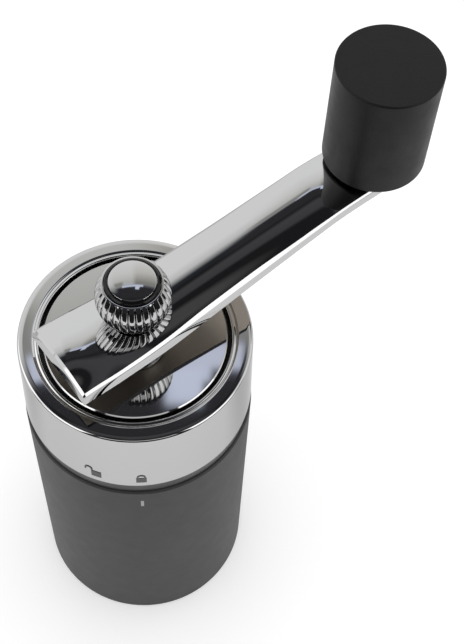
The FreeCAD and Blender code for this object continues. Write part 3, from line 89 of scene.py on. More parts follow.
def vary(material, value, socket, low, high):
    """Lets a value from 0 to 1 move a number of the shader between low and high."""
    tree = material.node_tree
    span = tree.nodes.new("ShaderNodeMapRange")
    span.inputs["From Min"].default_value = 0.25
    span.inputs["From Max"].default_value = 0.75
    span.inputs["To Min"].default_value = low
    span.inputs["To Max"].default_value = high
    tree.links.new(value, span.inputs["Value"])
    tree.links.new(span.outputs["Result"], tree.nodes["Principled BSDF"].inputs[socket])


def tint(material, value, dark, light):
    """Lets a value from 0 to 1 move the colour between two shades."""
    tree = material.node_tree
    mix = tree.nodes.new("ShaderNodeMix")
    mix.data_type = "RGBA"
    mix.inputs["A"].default_value = (*dark, 1)
    mix.inputs["B"].default_value = (*light, 1)
    tree.links.new(value, mix.inputs["Factor"])
    tree.links.new(mix.outputs["Result"], tree.nodes["Principled BSDF"].inputs["Base Color"])


def relief(material, value, depth, strength=1.0):
    """Lets a value raise and lower the surface by up to depth, in metres."""
    tree = material.node_tree
    bump = tree.nodes.new("ShaderNodeBump")
    bump.inputs["Strength"].default_value = strength
    bump.inputs["Distance"].default_value = depth
    tree.links.new(value, bump.inputs["Height"])
    tree.links.new(bump.outputs["Normal"], tree.nodes["Principled BSDF"].inputs["Normal"])


def finish_node(name, material):
    """Gives a piece that keeps its solid's shape its real finish."""
    mesh = nodes[name].data
    mesh.materials.clear()
    mesh.materials.append(material)


soft_coat = make_material("soft_touch_coat", (0.032, 0.032, 0.033), 0.48)
soft_coat.node_tree.nodes["Principled BSDF"].inputs["Specular IOR Level"].default_value = 0.33
grain = noise_over(soft_coat, 5200, 3)
tint(soft_coat, grain, (0.027, 0.027, 0.028), (0.037, 0.037, 0.038))
vary(soft_coat, noise_over(soft_coat, 240, 3), "Roughness", 0.50, 0.55)
relief(soft_coat, grain, 0.00004, 0.5)
finish_node("body_shell", soft_coat)


# The index mark on the shell
# A short upright tick, pad-printed in light grey on the soft coat.
# The ring's two lock marks are read against it.
MILLIMETRE = 0.001
SHELL_RADIUS, PRINT_PROUD = 28.5, 0.02
TICK_CENTRE, TICK_WIDTH, TICK_LOW, TICK_HIGH = -0.72, 0.75, 74.0, 77.0


def face_outwards(mesh):
    """Turns every face of a closed mesh to the outside."""
    shape = bmesh.new()
    shape.from_mesh(mesh)
    bmesh.ops.recalc_face_normals(shape, faces=shape.faces)
    shape.to_mesh(mesh)
    shape.free()


def bent_plate(name, outlines, radius, proud, step=0.25):
    """Flat outlines of (arc, height), bent round the axis with arc 0 at the front, as a very thin plate."""
    vertices, faces = [], []

    def at(arc, height, out):
        angle = arc / radius - math.pi / 2
        reach = (radius + out) * MILLIMETRE
        vertices.append((reach * math.cos(angle), reach * math.sin(angle), height * MILLIMETRE))
        return len(vertices) - 1

    for outline in outlines:
        corners = []
        for (arc, height), (next_arc, next_height) in zip(outline, outline[1:] + outline[:1]):
            parts = max(1, math.ceil(abs(next_arc - arc) / step))
            corners += [
                (arc + (next_arc - arc) * k / parts, height + (next_height - height) * k / parts)
                for k in range(parts)
            ]
        front = [at(arc, height, proud) for arc, height in corners]
        back = [at(arc, height, -proud) for arc, height in corners]
        faces.append(front)
        faces.append(back[::-1])
        for k in range(len(corners)):
            after = (k + 1) % len(corners)
            faces.append((front[k], back[k], back[after], front[after]))
    mesh = bpy.data.meshes.new(name)
    mesh.from_pydata(vertices, [], faces)
    face_outwards(mesh)
    piece = bpy.data.objects.new(name, mesh)
    bpy.context.scene.collection.objects.link(piece)
    return piece


def box_outline(left, right, low, high):
    """The four corners of an upright rectangle, turning left."""
    return [(left, low), (right, low), (right, high), (left, high)]


light_print = make_material("light_grey_print", (0.40, 0.40, 0.40), 0.6)
tint(light_print, noise_over(light_print, 3000, 2), (0.36, 0.36, 0.36), (0.44, 0.44, 0.44))
tick_outline = box_outline(TICK_CENTRE - TICK_WIDTH / 2, TICK_CENTRE + TICK_WIDTH / 2, TICK_LOW, TICK_HIGH)
index_tick = bent_plate("index_tick", [tick_outline], SHELL_RADIUS, PRINT_PROUD)
index_tick.data.materials.append(light_print)
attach(index_tick, "housing")


# The grater's carrier, the nut chamber, the head's inner moulding and the claw's hub
# Injection-moulded in black plastic with a satin surface.
# Three screws clamp carrier and chamber into the shell, three more hold the head's moulding in the ring.
black_moulding = make_material("black_satin_moulding", (0.012, 0.012, 0.013), 0.42)
tint(black_moulding, noise_over(black_moulding, 900, 3), (0.010, 0.010, 0.011), (0.015, 0.015, 0.016))
vary(black_moulding, noise_over(black_moulding, 160, 3), "Roughness", 0.36, 0.48)
relief(black_moulding, noise_over(black_moulding, 4000, 2), 0.00002, 0.3)
for name in ("grater_carrier", "chamber_sleeve", "head_carrier", "claw_hub"):
    finish_node(name, black_moulding)


# The bayonet collar
# A moulded black ring, pressed into the shell's top, whose tracks take the head's lugs.
# Its band shows as the dark line between shell and polished ring.
band_plastic = make_material("band_plastic", (0.006, 0.006, 0.007), 0.35)
tint(band_plastic, noise_over(band_plastic, 700, 3), (0.005, 0.005, 0.006), (0.008, 0.008, 0.009))
vary(band_plastic, noise_over(band_plastic, 120, 3), "Roughness", 0.30, 0.42)
finish_node("bayonet_collar", band_plastic)


# The grater disc, the screws, the shaft, the claw's prongs, the stops, the handle's pin and the clips
# Stainless sheet and turned steel with fine machining marks.
# The grater's blades are pressed up out of its disc, and the rivets join prongs and hub.
machined_steel = make_material("machined_steel", (0.50, 0.50, 0.51), 0.28, 1.0)
turning_marks = noise_over(machined_steel, 1400, 3, (1, 1, 6))
vary(machined_steel, turning_marks, "Roughness", 0.20, 0.36)
relief(machined_steel, turning_marks, 0.00002, 0.35)
for name in (
    "grater_disc",
    "carrier_screws",
    "ring_screws",
    "drive_shaft",
    "shaft_clip",
    "handle_pin",
    "pin_clip",
    "claw_prongs",
    "claw_rivets",
    "stop_washer",
    "stop_screw",
):
    finish_node(name, machined_steel)


# The claw's spring
# Hard-drawn wire, a little duller than the sheet, coiled with its end turns close.
# On the grinder its upper end stays on the shaft's cup, so it gets shorter as the nut lifts the claw; this
# coil is made once, at its length in the part, and moves with the claw.
SPRING_RADIUS, WIRE_RADIUS, SPRING_TURNS, END_TURNS, END_PITCH, CLAW_TRAVEL = 7.0, 0.6, 9, 1.0, 1.8, 20.0


def smooth_piece(name, vertices, faces, material, sharp_degrees=24):
    """A piece from its points in millimetres, shaded smooth but for edges sharper than an angle."""
    mesh = bpy.data.meshes.new(name)
    mesh.from_pydata([Vector(point) * MILLIMETRE for point in vertices], [], faces)
    mesh.validate()
    face_outwards(mesh)
    mesh.shade_smooth()
    mesh.set_sharp_from_angle(angle=math.radians(sharp_degrees))
    mesh.materials.append(material)
    piece = bpy.data.objects.new(name, mesh)
    bpy.context.scene.collection.objects.link(piece)
    return piece


def spring_mesh(low, high, steps=28, sides=10):
    """The spring's points and faces: a round wire that climbs from low to high, close at both ends."""
    free_rise = (high - low - 2 * WIRE_RADIUS - 2 * END_TURNS * END_PITCH) / (SPRING_TURNS - 2 * END_TURNS)
    vertices, faces = [], []
    for step in range(SPRING_TURNS * steps + 1):
        turn = step / steps
        free_turns = min(max(turn - END_TURNS, 0), SPRING_TURNS - 2 * END_TURNS)
        height = low + WIRE_RADIUS + END_PITCH * (turn - free_turns) + free_rise * free_turns
        out = Vector((math.cos(2 * math.pi * turn), math.sin(2 * math.pi * turn), 0))
        for side in range(sides):
            lean = 2 * math.pi * side / sides
            reach = SPRING_RADIUS + WIRE_RADIUS * math.cos(lean)
            vertices.append(out * reach + Vector((0, 0, height + WIRE_RADIUS * math.sin(lean))))
    for start in range(0, len(vertices) - sides, sides):
        for side in range(sides):
            after = (side + 1) % sides
            faces.append((start + side, start + sides + side, start + sides + after, start + after))
    faces.append(range(sides))
    faces.append(range(len(vertices) - 1, len(vertices) - sides - 1, -1))
    return vertices, faces


spring_wire = make_material("spring_wire", (0.42, 0.42, 0.43), 0.34, 1.0)
vary(spring_wire, noise_over(spring_wire, 2200, 2), "Roughness", 0.28, 0.42)
spring_low, spring_high = (corner[2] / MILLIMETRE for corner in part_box("claw_spring"))
coil = spring_mesh(spring_low, spring_high)
claw_spring = smooth_piece("coiled_claw_spring", *coil, spring_wire, sharp_degrees=60)
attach(claw_spring, "claw")
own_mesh(claw_spring)
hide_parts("claw_spring")


# The bush that the shaft turns in
# Turned brass with a flange, pressed into the head's moulding.
# It shows only when the head is off.
turned_brass = make_material("turned_brass", (0.62, 0.42, 0.16), 0.25, 1.0)
vary(turned_brass, noise_over(turned_brass, 1800, 3, (1, 1, 8)), "Roughness", 0.2, 0.34)
finish_node("bearing_bush", turned_brass)


# The washers, the spring's cup and the handle's bush
# Off-white nylon, moulded and slightly waxy, so that steel runs on it without grease.
# Shaft, cup and pin hold them; none is glued.
white_nylon = make_material("white_nylon", (0.60, 0.585, 0.54), 0.4)
white_nylon.node_tree.nodes["Principled BSDF"].inputs["Subsurface Weight"].default_value = 0.1
tint(white_nylon, noise_over(white_nylon, 600, 3), (0.57, 0.555, 0.51), (0.63, 0.615, 0.57))
for name in ("thrust_washer", "spring_cup", "handle_washer", "handle_bush"):
    finish_node(name, white_nylon)


# The lock ring
# Turned metal, polished and chromed: a slightly tapered wall, a flat top and a fine rim along the bore.
# It turns with the head; three screws under its lip hold the black moulding inside it.


def rounded_outline(corners, steps=8, hold=0.05):
    """A closed outline from (across, height, round) corners; a point beside each arc holds its edge."""
    points = []
    for index, (across, height, radius) in enumerate(corners):
        corner = Vector((across, height))
        if radius == 0:
            points.append(corner)
            continue
        before = Vector(corners[index - 1][:2]) - corner
        after = Vector(corners[(index + 1) % len(corners)][:2]) - corner
        half_angle = before.angle(after) / 2
        inward = (before.normalized() + after.normalized()).normalized()
        centre = corner + inward * (radius / math.sin(half_angle))
        reach = radius / math.tan(half_angle)
        first = corner + before.normalized() * reach - centre
        last = corner + after.normalized() * reach - centre
        turn = first.angle_signed(last)
        points.append(centre + first + before.normalized() * hold)
        for k in range(steps + 1):
            points.append(centre + Matrix.Rotation(-turn * k / steps, 2) @ first)
        points.append(centre + last + after.normalized() * hold)
    return points


def faces_between(rings):
    """Faces between each ring of points and the next, and round to the first; a ring may be one point."""
    faces = []
    for low, high in zip(rings, [*rings[1:], rings[0]]):
        for k in range(len(low)):
            after = (k + 1) % len(low)
            corners = [low[k], low[after], high[after], high[k]]
            face = [corner for j, corner in enumerate(corners) if corner not in corners[:j]]
            if len(face) > 2:
                faces.append(face)
    return faces


def turned_piece(name, outline, material, segments=192):
    """A piece turned about the Z axis from a closed outline of (radius, height) points."""
    vertices, rings = [], []
    for radius, height in outline:
        if radius == 0:
            rings.append([len(vertices)] * segments)
            vertices.append((0, 0, height))
            continue
        rings.append(range(len(vertices), len(vertices) + segments))
        for k in range(segments):
            angle = 2 * math.pi * k / segments
            vertices.append((radius * math.cos(angle), radius * math.sin(angle), height))
    return smooth_piece(name, vertices, faces_between(rings), material)


chrome = make_material("polished_chrome", (0.51, 0.51, 0.51), 0.03, 1.0)
chrome.node_tree.nodes["Principled BSDF"].inputs["Specular Tint"].default_value = (0.75, 0.75, 0.75, 1)
vary(chrome, noise_over(chrome, 45, 4), "Roughness", 0.015, 0.045)
relief(chrome, noise_over(chrome, 60, 1), 0.00002, 0.03)

RING_OUTER, RING_FOOT, RING_TOP, RING_DRAFT, FOOT_EDGE_ROUND = 28.3, 85.25, 108.4, 0.55, 0.5
LIP_BORE, LIP_UNDER, RING_BORE, BORE_EDGE_ROUND = 22.7, 104.3, 26.3, 0.15
CROWN_START, CROWN_RADIUS, EDGE_ROUND, MOUTH_ROUND = 26.2, 6.0, 0.7, 0.45
GROOVE_PLACE, GROOVE_HALF, GROOVE_DEPTH = 23.75, 0.6, 0.2
TOP_OUTER, TOP_INNER, TOP_STEPS = 26.85, 23.35, 35


def ring_top(across):
    """Height of the ring's top: flat, falling to the outside, with a soft groove beside the mouth."""
    fall = max(0, across - CROWN_START) ** 2 / (2 * CROWN_RADIUS)
    from_groove = min(1, abs(across - GROOVE_PLACE) / GROOVE_HALF)
    return RING_TOP - fall - GROOVE_DEPTH * (1 + math.cos(math.pi * from_groove)) / 2


ring_edge = RING_OUTER - RING_DRAFT
top_places = [TOP_OUTER + (TOP_INNER - TOP_OUTER) * k / TOP_STEPS for k in range(TOP_STEPS + 1)]
ring_outline = rounded_outline(
    [
        (RING_OUTER, RING_FOOT, FOOT_EDGE_ROUND),
        (ring_edge, ring_top(ring_edge - EDGE_ROUND / 2), EDGE_ROUND),
        *[(across, ring_top(across), 0) for across in top_places],
        (LIP_BORE, RING_TOP, MOUTH_ROUND),
        (LIP_BORE, LIP_UNDER, 0),
        (RING_BORE, LIP_UNDER, 0),
        (RING_BORE, RING_FOOT, BORE_EDGE_ROUND),
    ]
)
lock_ring = turned_piece("polished_lock_ring", ring_outline, chrome)
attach(lock_ring, "head")
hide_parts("lock_ring")


# The two lock marks on the ring
# A closed and an open padlock, etched dark into the polished wall.
# The one that stands over the index tick says whether the head is locked.
MARK_LEVEL, MARK_PROUD = 89.0, 0.07
CLOSED_BODY, OPEN_BODY = (-1.85, 0.65, 87.4, 89.7), (-12.75, -10.25, 87.5, 90.2)
CLOSED_SHACKLE, OPEN_SHACKLE = (-0.6, 90.1, 0.72, 1.08, 0.4), (-13.4, 90.9, 0.62, 1.0, 0.7)


def shackle_outlines(centre, foot, inner, outer, leg, parts=10):
    """A padlock's shackle as quads: a half ring of two radii on two legs."""
    quads = []
    for k in range(parts):
        a, b = math.pi * k / parts, math.pi * (k + 1) / parts
        quads.append(
            [
                (centre + inner * math.cos(a), foot + inner * math.sin(a)),
                (centre + outer * math.cos(a), foot + outer * math.sin(a)),
                (centre + outer * math.cos(b), foot + outer * math.sin(b)),
                (centre + inner * math.cos(b), foot + inner * math.sin(b)),
            ]
        )
    quads.append(box_outline(centre + inner, centre + outer, foot - leg, foot))
    quads.append(box_outline(centre - outer, centre - inner, foot - leg, foot))
    return quads


dark_print = make_material("dark_etched_mark", (0.055, 0.055, 0.055), 0.5)
tint(dark_print, noise_over(dark_print, 3000, 2), (0.05, 0.05, 0.05), (0.065, 0.065, 0.065))
wall_at_marks = RING_OUTER - RING_DRAFT * (MARK_LEVEL - RING_FOOT) / (RING_TOP - RING_FOOT)
closed_outlines = [box_outline(*CLOSED_BODY), *shackle_outlines(*CLOSED_SHACKLE)]
open_outlines = [box_outline(*OPEN_BODY), *shackle_outlines(*OPEN_SHACKLE)]
closed_lock = bent_plate("closed_lock_mark", closed_outlines, wall_at_marks, MARK_PROUD)
open_lock = bent_plate("open_lock_mark", open_outlines, wall_at_marks, MARK_PROUD)
for mark in (closed_lock, open_lock):
    mark.data.materials.append(dark_print)
    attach(mark, "head")


# The disc that turns with the crank
# A turned and chromed cover over the bearing, with a fine bevel; the shaft's square drives it.
# The ring's mouth leaves a dark gap round it.
DISC_OUTER, DISC_TOP, DISC_UNDER, DISC_BORE = 21.8, 108.4, 107.0, 4.4
SKIRT_WALL, SKIRT_DEPTH, DISC_BEVEL, BEVEL_EDGE_ROUND = 1.2, 1.6, 0.3, 0.08
disc_outline = rounded_outline(
    [
        (DISC_BORE, DISC_UNDER, 0),
        (DISC_OUTER - SKIRT_WALL, DISC_UNDER, 0),
        (DISC_OUTER - SKIRT_WALL, DISC_UNDER - SKIRT_DEPTH, 0),
        (DISC_OUTER, DISC_UNDER - SKIRT_DEPTH, 0),
        (DISC_OUTER, DISC_TOP - DISC_BEVEL, BEVEL_EDGE_ROUND),
        (DISC_OUTER - DISC_BEVEL, DISC_TOP, BEVEL_EDGE_ROUND),
        (DISC_BORE, DISC_TOP, 0),
    ]
)
crank_disc = turned_piece("polished_crank_disc", disc_outline, chrome)
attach(crank_disc, "crank")
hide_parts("crank_disc")


# The boss between disc and arm
# A turned and chromed spool that lifts the arm clear of the ring.
# The shaft's square goes through it, and the knob clamps it.
BOSS_FOOT, BOSS_TOP, BOSS_SEAT, BOSS_BORE, BOSS_WAIST, BOSS_RIM = 108.4, 113.4, 113.55, 4.35, 5.6, 6.8
FLANGE, FLANGE_ROUND, WAIST_ROUND = 0.9, 0.15, 0.7
boss_outline = rounded_outline(
    [
        (BOSS_BORE, BOSS_FOOT, 0),
        (BOSS_RIM, BOSS_FOOT, FLANGE_ROUND),
        (BOSS_RIM, BOSS_FOOT + FLANGE, FLANGE_ROUND),
        (BOSS_WAIST, BOSS_FOOT + FLANGE, WAIST_ROUND),
        (BOSS_WAIST, BOSS_TOP - FLANGE, WAIST_ROUND),
        (BOSS_RIM, BOSS_TOP - FLANGE, FLANGE_ROUND),
        (BOSS_RIM, BOSS_SEAT, FLANGE_ROUND),
        (BOSS_BORE, BOSS_SEAT, 0),
    ],
    steps=6,
)
hub_boss = turned_piece("polished_hub_boss", boss_outline, chrome, segments=128)
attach(hub_boss, "crank")
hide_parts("hub_boss")


# The crank arm
# A forged bar, bent twice: square at the tail, waisted, round and thinner under the handle, crowned on top.
# Top, sides and the hand-ground bevels are polished and chromed, the underside is left bare.
CRANK_DEGREES, CRANK_REACH = 31.5, 70.0
ARM_TAIL, TAIL_HALF, END_RADIUS, ARM_WAIST = 20.8, 10.65, 7.9, 2080.0
ARM_THICKNESS, TIP_THICKNESS, ARM_CROWN, ARM_RISE = 4.85, 3.3, 30.0, 7.6
BEND_START, BEND_END, BEND_RADIUS = -2.5, 60.0, 60.0
BEVEL_AT_TAIL, BEVEL_HALF_WAY, BEVEL_AT_TIP = 0.6, 0.95, 0.45
BEVEL_WIDTHS = (
    (-ARM_TAIL, BEVEL_AT_TAIL),
    (2.0, 0.68),
    (16.0, BEVEL_HALF_WAY),
    (27.0, BEVEL_HALF_WAY),
    (44.0, 0.62),
    (54.0, 0.48),
    (78.0, BEVEL_AT_TIP),
)
EDGE_STRIP, SIDE_LEAN, UNDER_HOLLOW, LEAST_CROWN, FACES_DOWN = 0.18, 0.35, 0.3, 0.1, -0.7
SIDE_SPARE, SPARE_FADE_TAIL, SPARE_FADE_TIP = 0.3, 9.0, 20.0
HOLLOW_START, HOLLOW_END, HOLLOW_DEPTH, TAIL_FALL_START, TAIL_FALL_RADIUS = -17.0, 5.0, 0.3, -16.5, 45.0


def bend_slope(full_rise):
    """The slope of the arm's straight middle that joins both bends, in radians, found by halving."""
    low, high = 0.0, 0.5
    for _ in range(60):
        slope = (low + high) / 2
        run = BEND_END - BEND_START - 2 * BEND_RADIUS * math.sin(slope)
        rise = run * math.tan(slope) + 2 * BEND_RADIUS * (1 - math.cos(slope))
        low, high = (slope, high) if rise < full_rise else (low, slope)
    return slope


def side_line(along, full_rise):
    """Height over the boss and slope in radians: level, up a straight middle and level again."""
    middle = bend_slope(full_rise)
    bent = BEND_RADIUS * math.sin(middle)
    if along <= BEND_START:
        return 0.0, 0.0
    if along <= BEND_START + bent:
        slope = math.asin((along - BEND_START) / BEND_RADIUS)
        return BEND_RADIUS * (1 - math.cos(slope)), slope
    if along < BEND_END - bent:
        foot = BEND_RADIUS * (1 - math.cos(middle))
        return foot + (along - BEND_START - bent) * math.tan(middle), middle
    if along < BEND_END:
        slope = math.asin((BEND_END - along) / BEND_RADIUS)
        return full_rise - BEND_RADIUS * (1 - math.cos(slope)), slope
    return full_rise, 0.0


def arm_half(along):
    """Half the arm's width at a distance along the crank."""
    if along >= CRANK_REACH:
        return math.sqrt(max(END_RADIUS**2 - (along - CRANK_REACH) ** 2, 0))
    back = CRANK_REACH - along
    bow = back**2 / (2 * ARM_WAIST)
    tail_back = CRANK_REACH + ARM_TAIL
    lean = (TAIL_HALF - END_RADIUS - tail_back**2 / (2 * ARM_WAIST)) / tail_back
    return END_RADIUS + lean * back + bow


def arm_top(along, across):
    """Height of the crowned top; the polishing wheel left a soft hollow where the nut sits."""
    drop = ARM_CROWN - math.sqrt(ARM_CROWN**2 - across**2)
    if HOLLOW_START < along < HOLLOW_END:
        drop += HOLLOW_DEPTH * math.sin(math.pi * (along - HOLLOW_START) / (HOLLOW_END - HOLLOW_START)) ** 2
    drop += max(0, TAIL_FALL_START - along) ** 2 / (2 * TAIL_FALL_RADIUS)
    lift, slope = side_line(along, ARM_RISE)
    return BOSS_TOP + lift + (ARM_THICKNESS - drop) / math.cos(slope)


def bevel_width(along):
    """Width of the bevel at a distance along the crank, eased between the places in BEVEL_WIDTHS."""
    for (near, near_width), (far, far_width) in zip(BEVEL_WIDTHS, BEVEL_WIDTHS[1:]):
        if along <= far:
            share = (along - near) / (far - near)
            return near_width + (far_width - near_width) * share * share * (3 - 2 * share)
    return BEVEL_WIDTHS[-1][1]


def arm_mesh(columns=28):
    """The arm's points and faces: sections along the crank with an underside, sides, bevels and a crown."""
    first, steps = -19.5, 120
    stations = [-ARM_TAIL, -ARM_TAIL + BEVEL_AT_TAIL]
    stations += [first + (CRANK_REACH - first) * k / steps for k in range(steps + 1)]
    stations += [CRANK_REACH + END_RADIUS * math.sin(math.radians(bearing)) for bearing in range(6, 85, 6)]
    share = [2 * k / columns - 1 for k in range(columns + 1)]
    vertices, sections = [], []
    turn = Matrix.Rotation(math.radians(CRANK_DEGREES), 3, "Z")
    under_rise = ARM_RISE + ARM_THICKNESS - TIP_THICKNESS

    def put(along, across, height):
        vertices.append(turn @ Vector((along, across, height)))
        return len(vertices) - 1

    for index, along in enumerate(stations):
        bevel = bevel_width(along)
        from_tail, to_tip = ARM_TAIL + along, CRANK_REACH + END_RADIUS - along
        half = arm_half(along) + SIDE_SPARE * min(1, from_tail / SPARE_FADE_TAIL, to_tip / SPARE_FADE_TIP)
        foot_half = half + SIDE_LEAN if along < CRANK_REACH else half
        inner = max(half - bevel, half * LEAST_CROWN)
        sunk = bevel if index == 0 else 0
        foot_along = along - SIDE_LEAN if index == 0 else along
        foot = BOSS_TOP + side_line(along, under_rise)[0]
        under = [put(foot_along, foot_half * x, foot + UNDER_HOLLOW * (1 - x * x)) for x in share]
        low_edge, high_edge = [], []
        for side in (-1, 1):
            corner = arm_top(along, inner) - bevel
            low_edge.append(put(along, side * half, corner - EDGE_STRIP))
            high_edge.append(put(along, side * (half - EDGE_STRIP / 2), corner + EDGE_STRIP / 2))
        crown = [put(along, inner * x, arm_top(along, inner * x) - sunk) for x in share]
        sections.append((under, low_edge, high_edge, crown))
    faces = []
    for section, next_section in zip(sections, sections[1:]):
        under, low, high, crown = section
        next_under, next_low, next_high, next_crown = next_section
        for k in range(columns):
            faces.append((under[k], next_under[k], next_under[k + 1], under[k + 1]))
            faces.append((crown[k], crown[k + 1], next_crown[k + 1], next_crown[k]))
        faces.append((under[-1], next_under[-1], next_low[1], low[1]))
        faces.append((low[1], next_low[1], next_high[1], high[1]))
        faces.append((high[1], next_high[1], next_crown[-1], crown[-1]))
        faces.append((next_under[0], under[0], low[0], next_low[0]))
        faces.append((next_low[0], low[0], high[0], next_high[0]))
        faces.append((next_high[0], high[0], crown[0], next_crown[0]))
    for (under, low, high, crown), flip in ((sections[0], False), (sections[-1], True)):
        rim = [low[0], high[0], *crown, high[1], low[1]]
        face = [*under, *reversed(rim)]
        faces.append(face if flip else face[::-1])
    return vertices, faces


bare_underside = make_material("bare_forged_underside", (0.54, 0.485, 0.42), 0.42, 1.0)
vary(bare_underside, noise_over(bare_underside, 900, 3), "Roughness", 0.36, 0.48)
crank_arm = smooth_piece("polished_crank_arm", *arm_mesh(), chrome, sharp_degrees=12)
crank_arm.data.materials.append(bare_underside)
for face in crank_arm.data.polygons:
    face.material_index = 1 if face.normal.z < FACES_DOWN else 0
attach(crank_arm, "crank")
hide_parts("crank_arm")


# The knob nut
# A blind nut, turned as a ball with a plain foot, ribbed like a small pumpkin for the fingers, and chromed.
# It is screwed on the shaft's end and clamps the arm.
KNOB_CENTRE, KNOB_RADIUS, KNOB_SEAT, THREAD_RADIUS, THREAD_TOP = 125.85, 8.7, 117.95, 3.3, 11.3
KNOB_FOOT, FOOT_HEIGHT, FOOT_CHAMFER = 4.6, 1.2, 0.15
KNOB_LIP, LIP_ROUND, LIP_CREST = 7.0, 0.12, 0.02
RECESS_MOUTH, MOUTH_BEVEL, RECESS_RADIUS, RECESS_DEPTH = 6.6, 0.05, 6.55, 1.0
RIB_COUNT, VALLEY_DEPTH, RIB_SQUARENESS, RIB_FADE_DEGREES = 30, 0.5, 5, 5


def rib_section(columns=8, crowding=1.6):
    """Points across a rib: place from 0 to 1, and fall from 0 on the flat back to 1 in the valley."""
    half = [1 - (1 - k / columns) ** crowding for k in range(columns)]
    places = [-place for place in half[:0:-1]] + half + [1]
    return [(0.5 + place / 2, abs(place) ** RIB_SQUARENESS) for place in places]


def knob_mesh(rows=40):
    """The nut's points and faces: a ribbed ball between its foot and the recess for ring and cap."""
    low = math.asin((KNOB_SEAT + FOOT_HEIGHT - KNOB_CENTRE) / KNOB_RADIUS)
    high = math.acos(KNOB_LIP / KNOB_RADIUS)
    fade = math.radians(RIB_FADE_DEGREES)
    outline = [
        (THREAD_RADIUS, KNOB_SEAT, 0),
        (KNOB_FOOT - FOOT_CHAMFER, KNOB_SEAT, 0),
        (KNOB_FOOT, KNOB_SEAT + FOOT_CHAMFER, 0),
        (KNOB_FOOT, KNOB_SEAT + FOOT_HEIGHT, 0),
    ]
    for row in range(rows + 1):
        latitude = low + (high - low) * row / rows
        near_end = max(0, min(latitude - low, high - latitude, fade)) / fade
        depth = VALLEY_DEPTH * math.sqrt(near_end)
        height = KNOB_CENTRE + KNOB_RADIUS * math.sin(latitude)
        outline.append((KNOB_RADIUS * math.cos(latitude), height, depth))
    top = outline[-1][1]
    outline += [
        (KNOB_LIP - LIP_ROUND, top + LIP_CREST, 0),
        (RECESS_MOUTH, top + LIP_CREST, 0),
        (RECESS_RADIUS, top - MOUTH_BEVEL, 0),
        (RECESS_RADIUS, top - RECESS_DEPTH, 0),
        (0, top - RECESS_DEPTH, 0),
        (0, KNOB_SEAT + THREAD_TOP, 0),
        (THREAD_RADIUS, KNOB_SEAT + THREAD_TOP, 0),
    ]
    section = rib_section()
    around = RIB_COUNT * len(section)
    vertices, rings = [], []
    start = math.radians(CRANK_DEGREES)
    for radius, height, depth in outline:
        if radius == 0:
            rings.append([len(vertices)] * around)
            vertices.append((0, 0, height))
            continue
        rings.append(range(len(vertices), len(vertices) + around))
        for k in range(around):
            place, fall = section[k % len(section)]
            angle = start + 2 * math.pi * (k // len(section) + place - 1) / RIB_COUNT
            reach = radius - depth * fall
            vertices.append((reach * math.cos(angle), reach * math.sin(angle), height))
    return vertices, faces_between(rings)


knob_nut = smooth_piece("ribbed_knob_nut", *knob_mesh(), chrome, sharp_degrees=40)
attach(knob_nut, "crank")
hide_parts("knob_nut")


# The black ring in the knob's top
# Glossy moulded plastic, pressed into the nut's recess and rounded down to its lip.
# It frames the cap.
CAP_FOOT, CAP_EDGE, LIP_LEVEL = 130.02, 131.77, 131.02
FRAME_BORE, FRAME_OUTER, FRAME_ROUND = 5.55, 6.45, 1.0


def arc_points(start, end, radius, steps=8):
    """Points from start to end, over an arc that turns left."""
    start, end = Vector(start), Vector(end)
    chord = end - start
    left = Vector((-chord.y, chord.x)).normalized()
    centre = (start + end) / 2 + left * math.sqrt(radius**2 - (chord.length / 2) ** 2)
    sweep = 2 * math.asin(chord.length / 2 / radius)
    return [centre + Matrix.Rotation(sweep * k / steps, 2) @ (start - centre) for k in range(steps + 1)]


gloss_black = make_material("gloss_black_ring", (0.004, 0.004, 0.0045), 0.08)
gloss_black.node_tree.nodes["Principled BSDF"].inputs["Specular IOR Level"].default_value = 0.2
tint(gloss_black, noise_over(gloss_black, 900, 2), (0.003, 0.003, 0.0035), (0.0055, 0.0055, 0.006))
vary(gloss_black, noise_over(gloss_black, 200, 3), "Roughness", 0.06, 0.11)
frame_outline = [
    (FRAME_BORE, CAP_FOOT),
    (FRAME_OUTER, CAP_FOOT),
    *arc_points((FRAME_OUTER, LIP_LEVEL), (FRAME_BORE, CAP_EDGE), FRAME_ROUND),
]
knob_ring = turned_piece("knob_black_ring", frame_outline, gloss_black, segments=128)
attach(knob_ring, "crank")
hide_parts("knob_ring")


# The cap in the knob's top
# A small domed disc of polished and chromed metal with a bare face.
# It is pressed into the black ring.
CAP_RADIUS, CAP_DOME, CAP_ROUND, DOME_STEPS = 5.45, 0.28, 0.1, 24
dome_radius = (CAP_RADIUS**2 + CAP_DOME**2) / (2 * CAP_DOME)
dome_places = [CAP_RADIUS * (1 - k / DOME_STEPS) for k in range(1, DOME_STEPS)]
dome_foot = CAP_EDGE + CAP_DOME - dome_radius
cap_outline = [
    (0, CAP_FOOT),
    (CAP_RADIUS, CAP_FOOT),
    (CAP_RADIUS, CAP_EDGE - CAP_ROUND),
    (CAP_RADIUS - 0.8 * CAP_ROUND, CAP_EDGE),
    *[(across, dome_foot + math.sqrt(dome_radius**2 - across**2)) for across in dome_places],
    (0, CAP_EDGE + CAP_DOME),
]
knob_cap = turned_piece("domed_knob_cap", cap_outline, chrome, segments=128)
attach(knob_cap, "crank")
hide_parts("knob_cap")


# The turning handle
# A plain cylinder, bored from below for its bush, which turns on the pin.
# It has the shell's soft coat, but blacker and drier.
grip_coat = make_material("handle_coat", (0.007, 0.007, 0.0075), 0.40)
grip_coat.node_tree.nodes["Principled BSDF"].inputs["Specular IOR Level"].default_value = 0.2
grip_grain = noise_over(grip_coat, 2600, 4)
tint(grip_coat, grip_grain, (0.004, 0.004, 0.0045), (0.009, 0.0085, 0.0085))
vary(grip_coat, noise_over(grip_coat, 220, 5), "Roughness", 0.36, 0.48)
relief(grip_coat, grip_grain, 0.00005, 0.6)
finish_node("handle_grip", grip_coat)
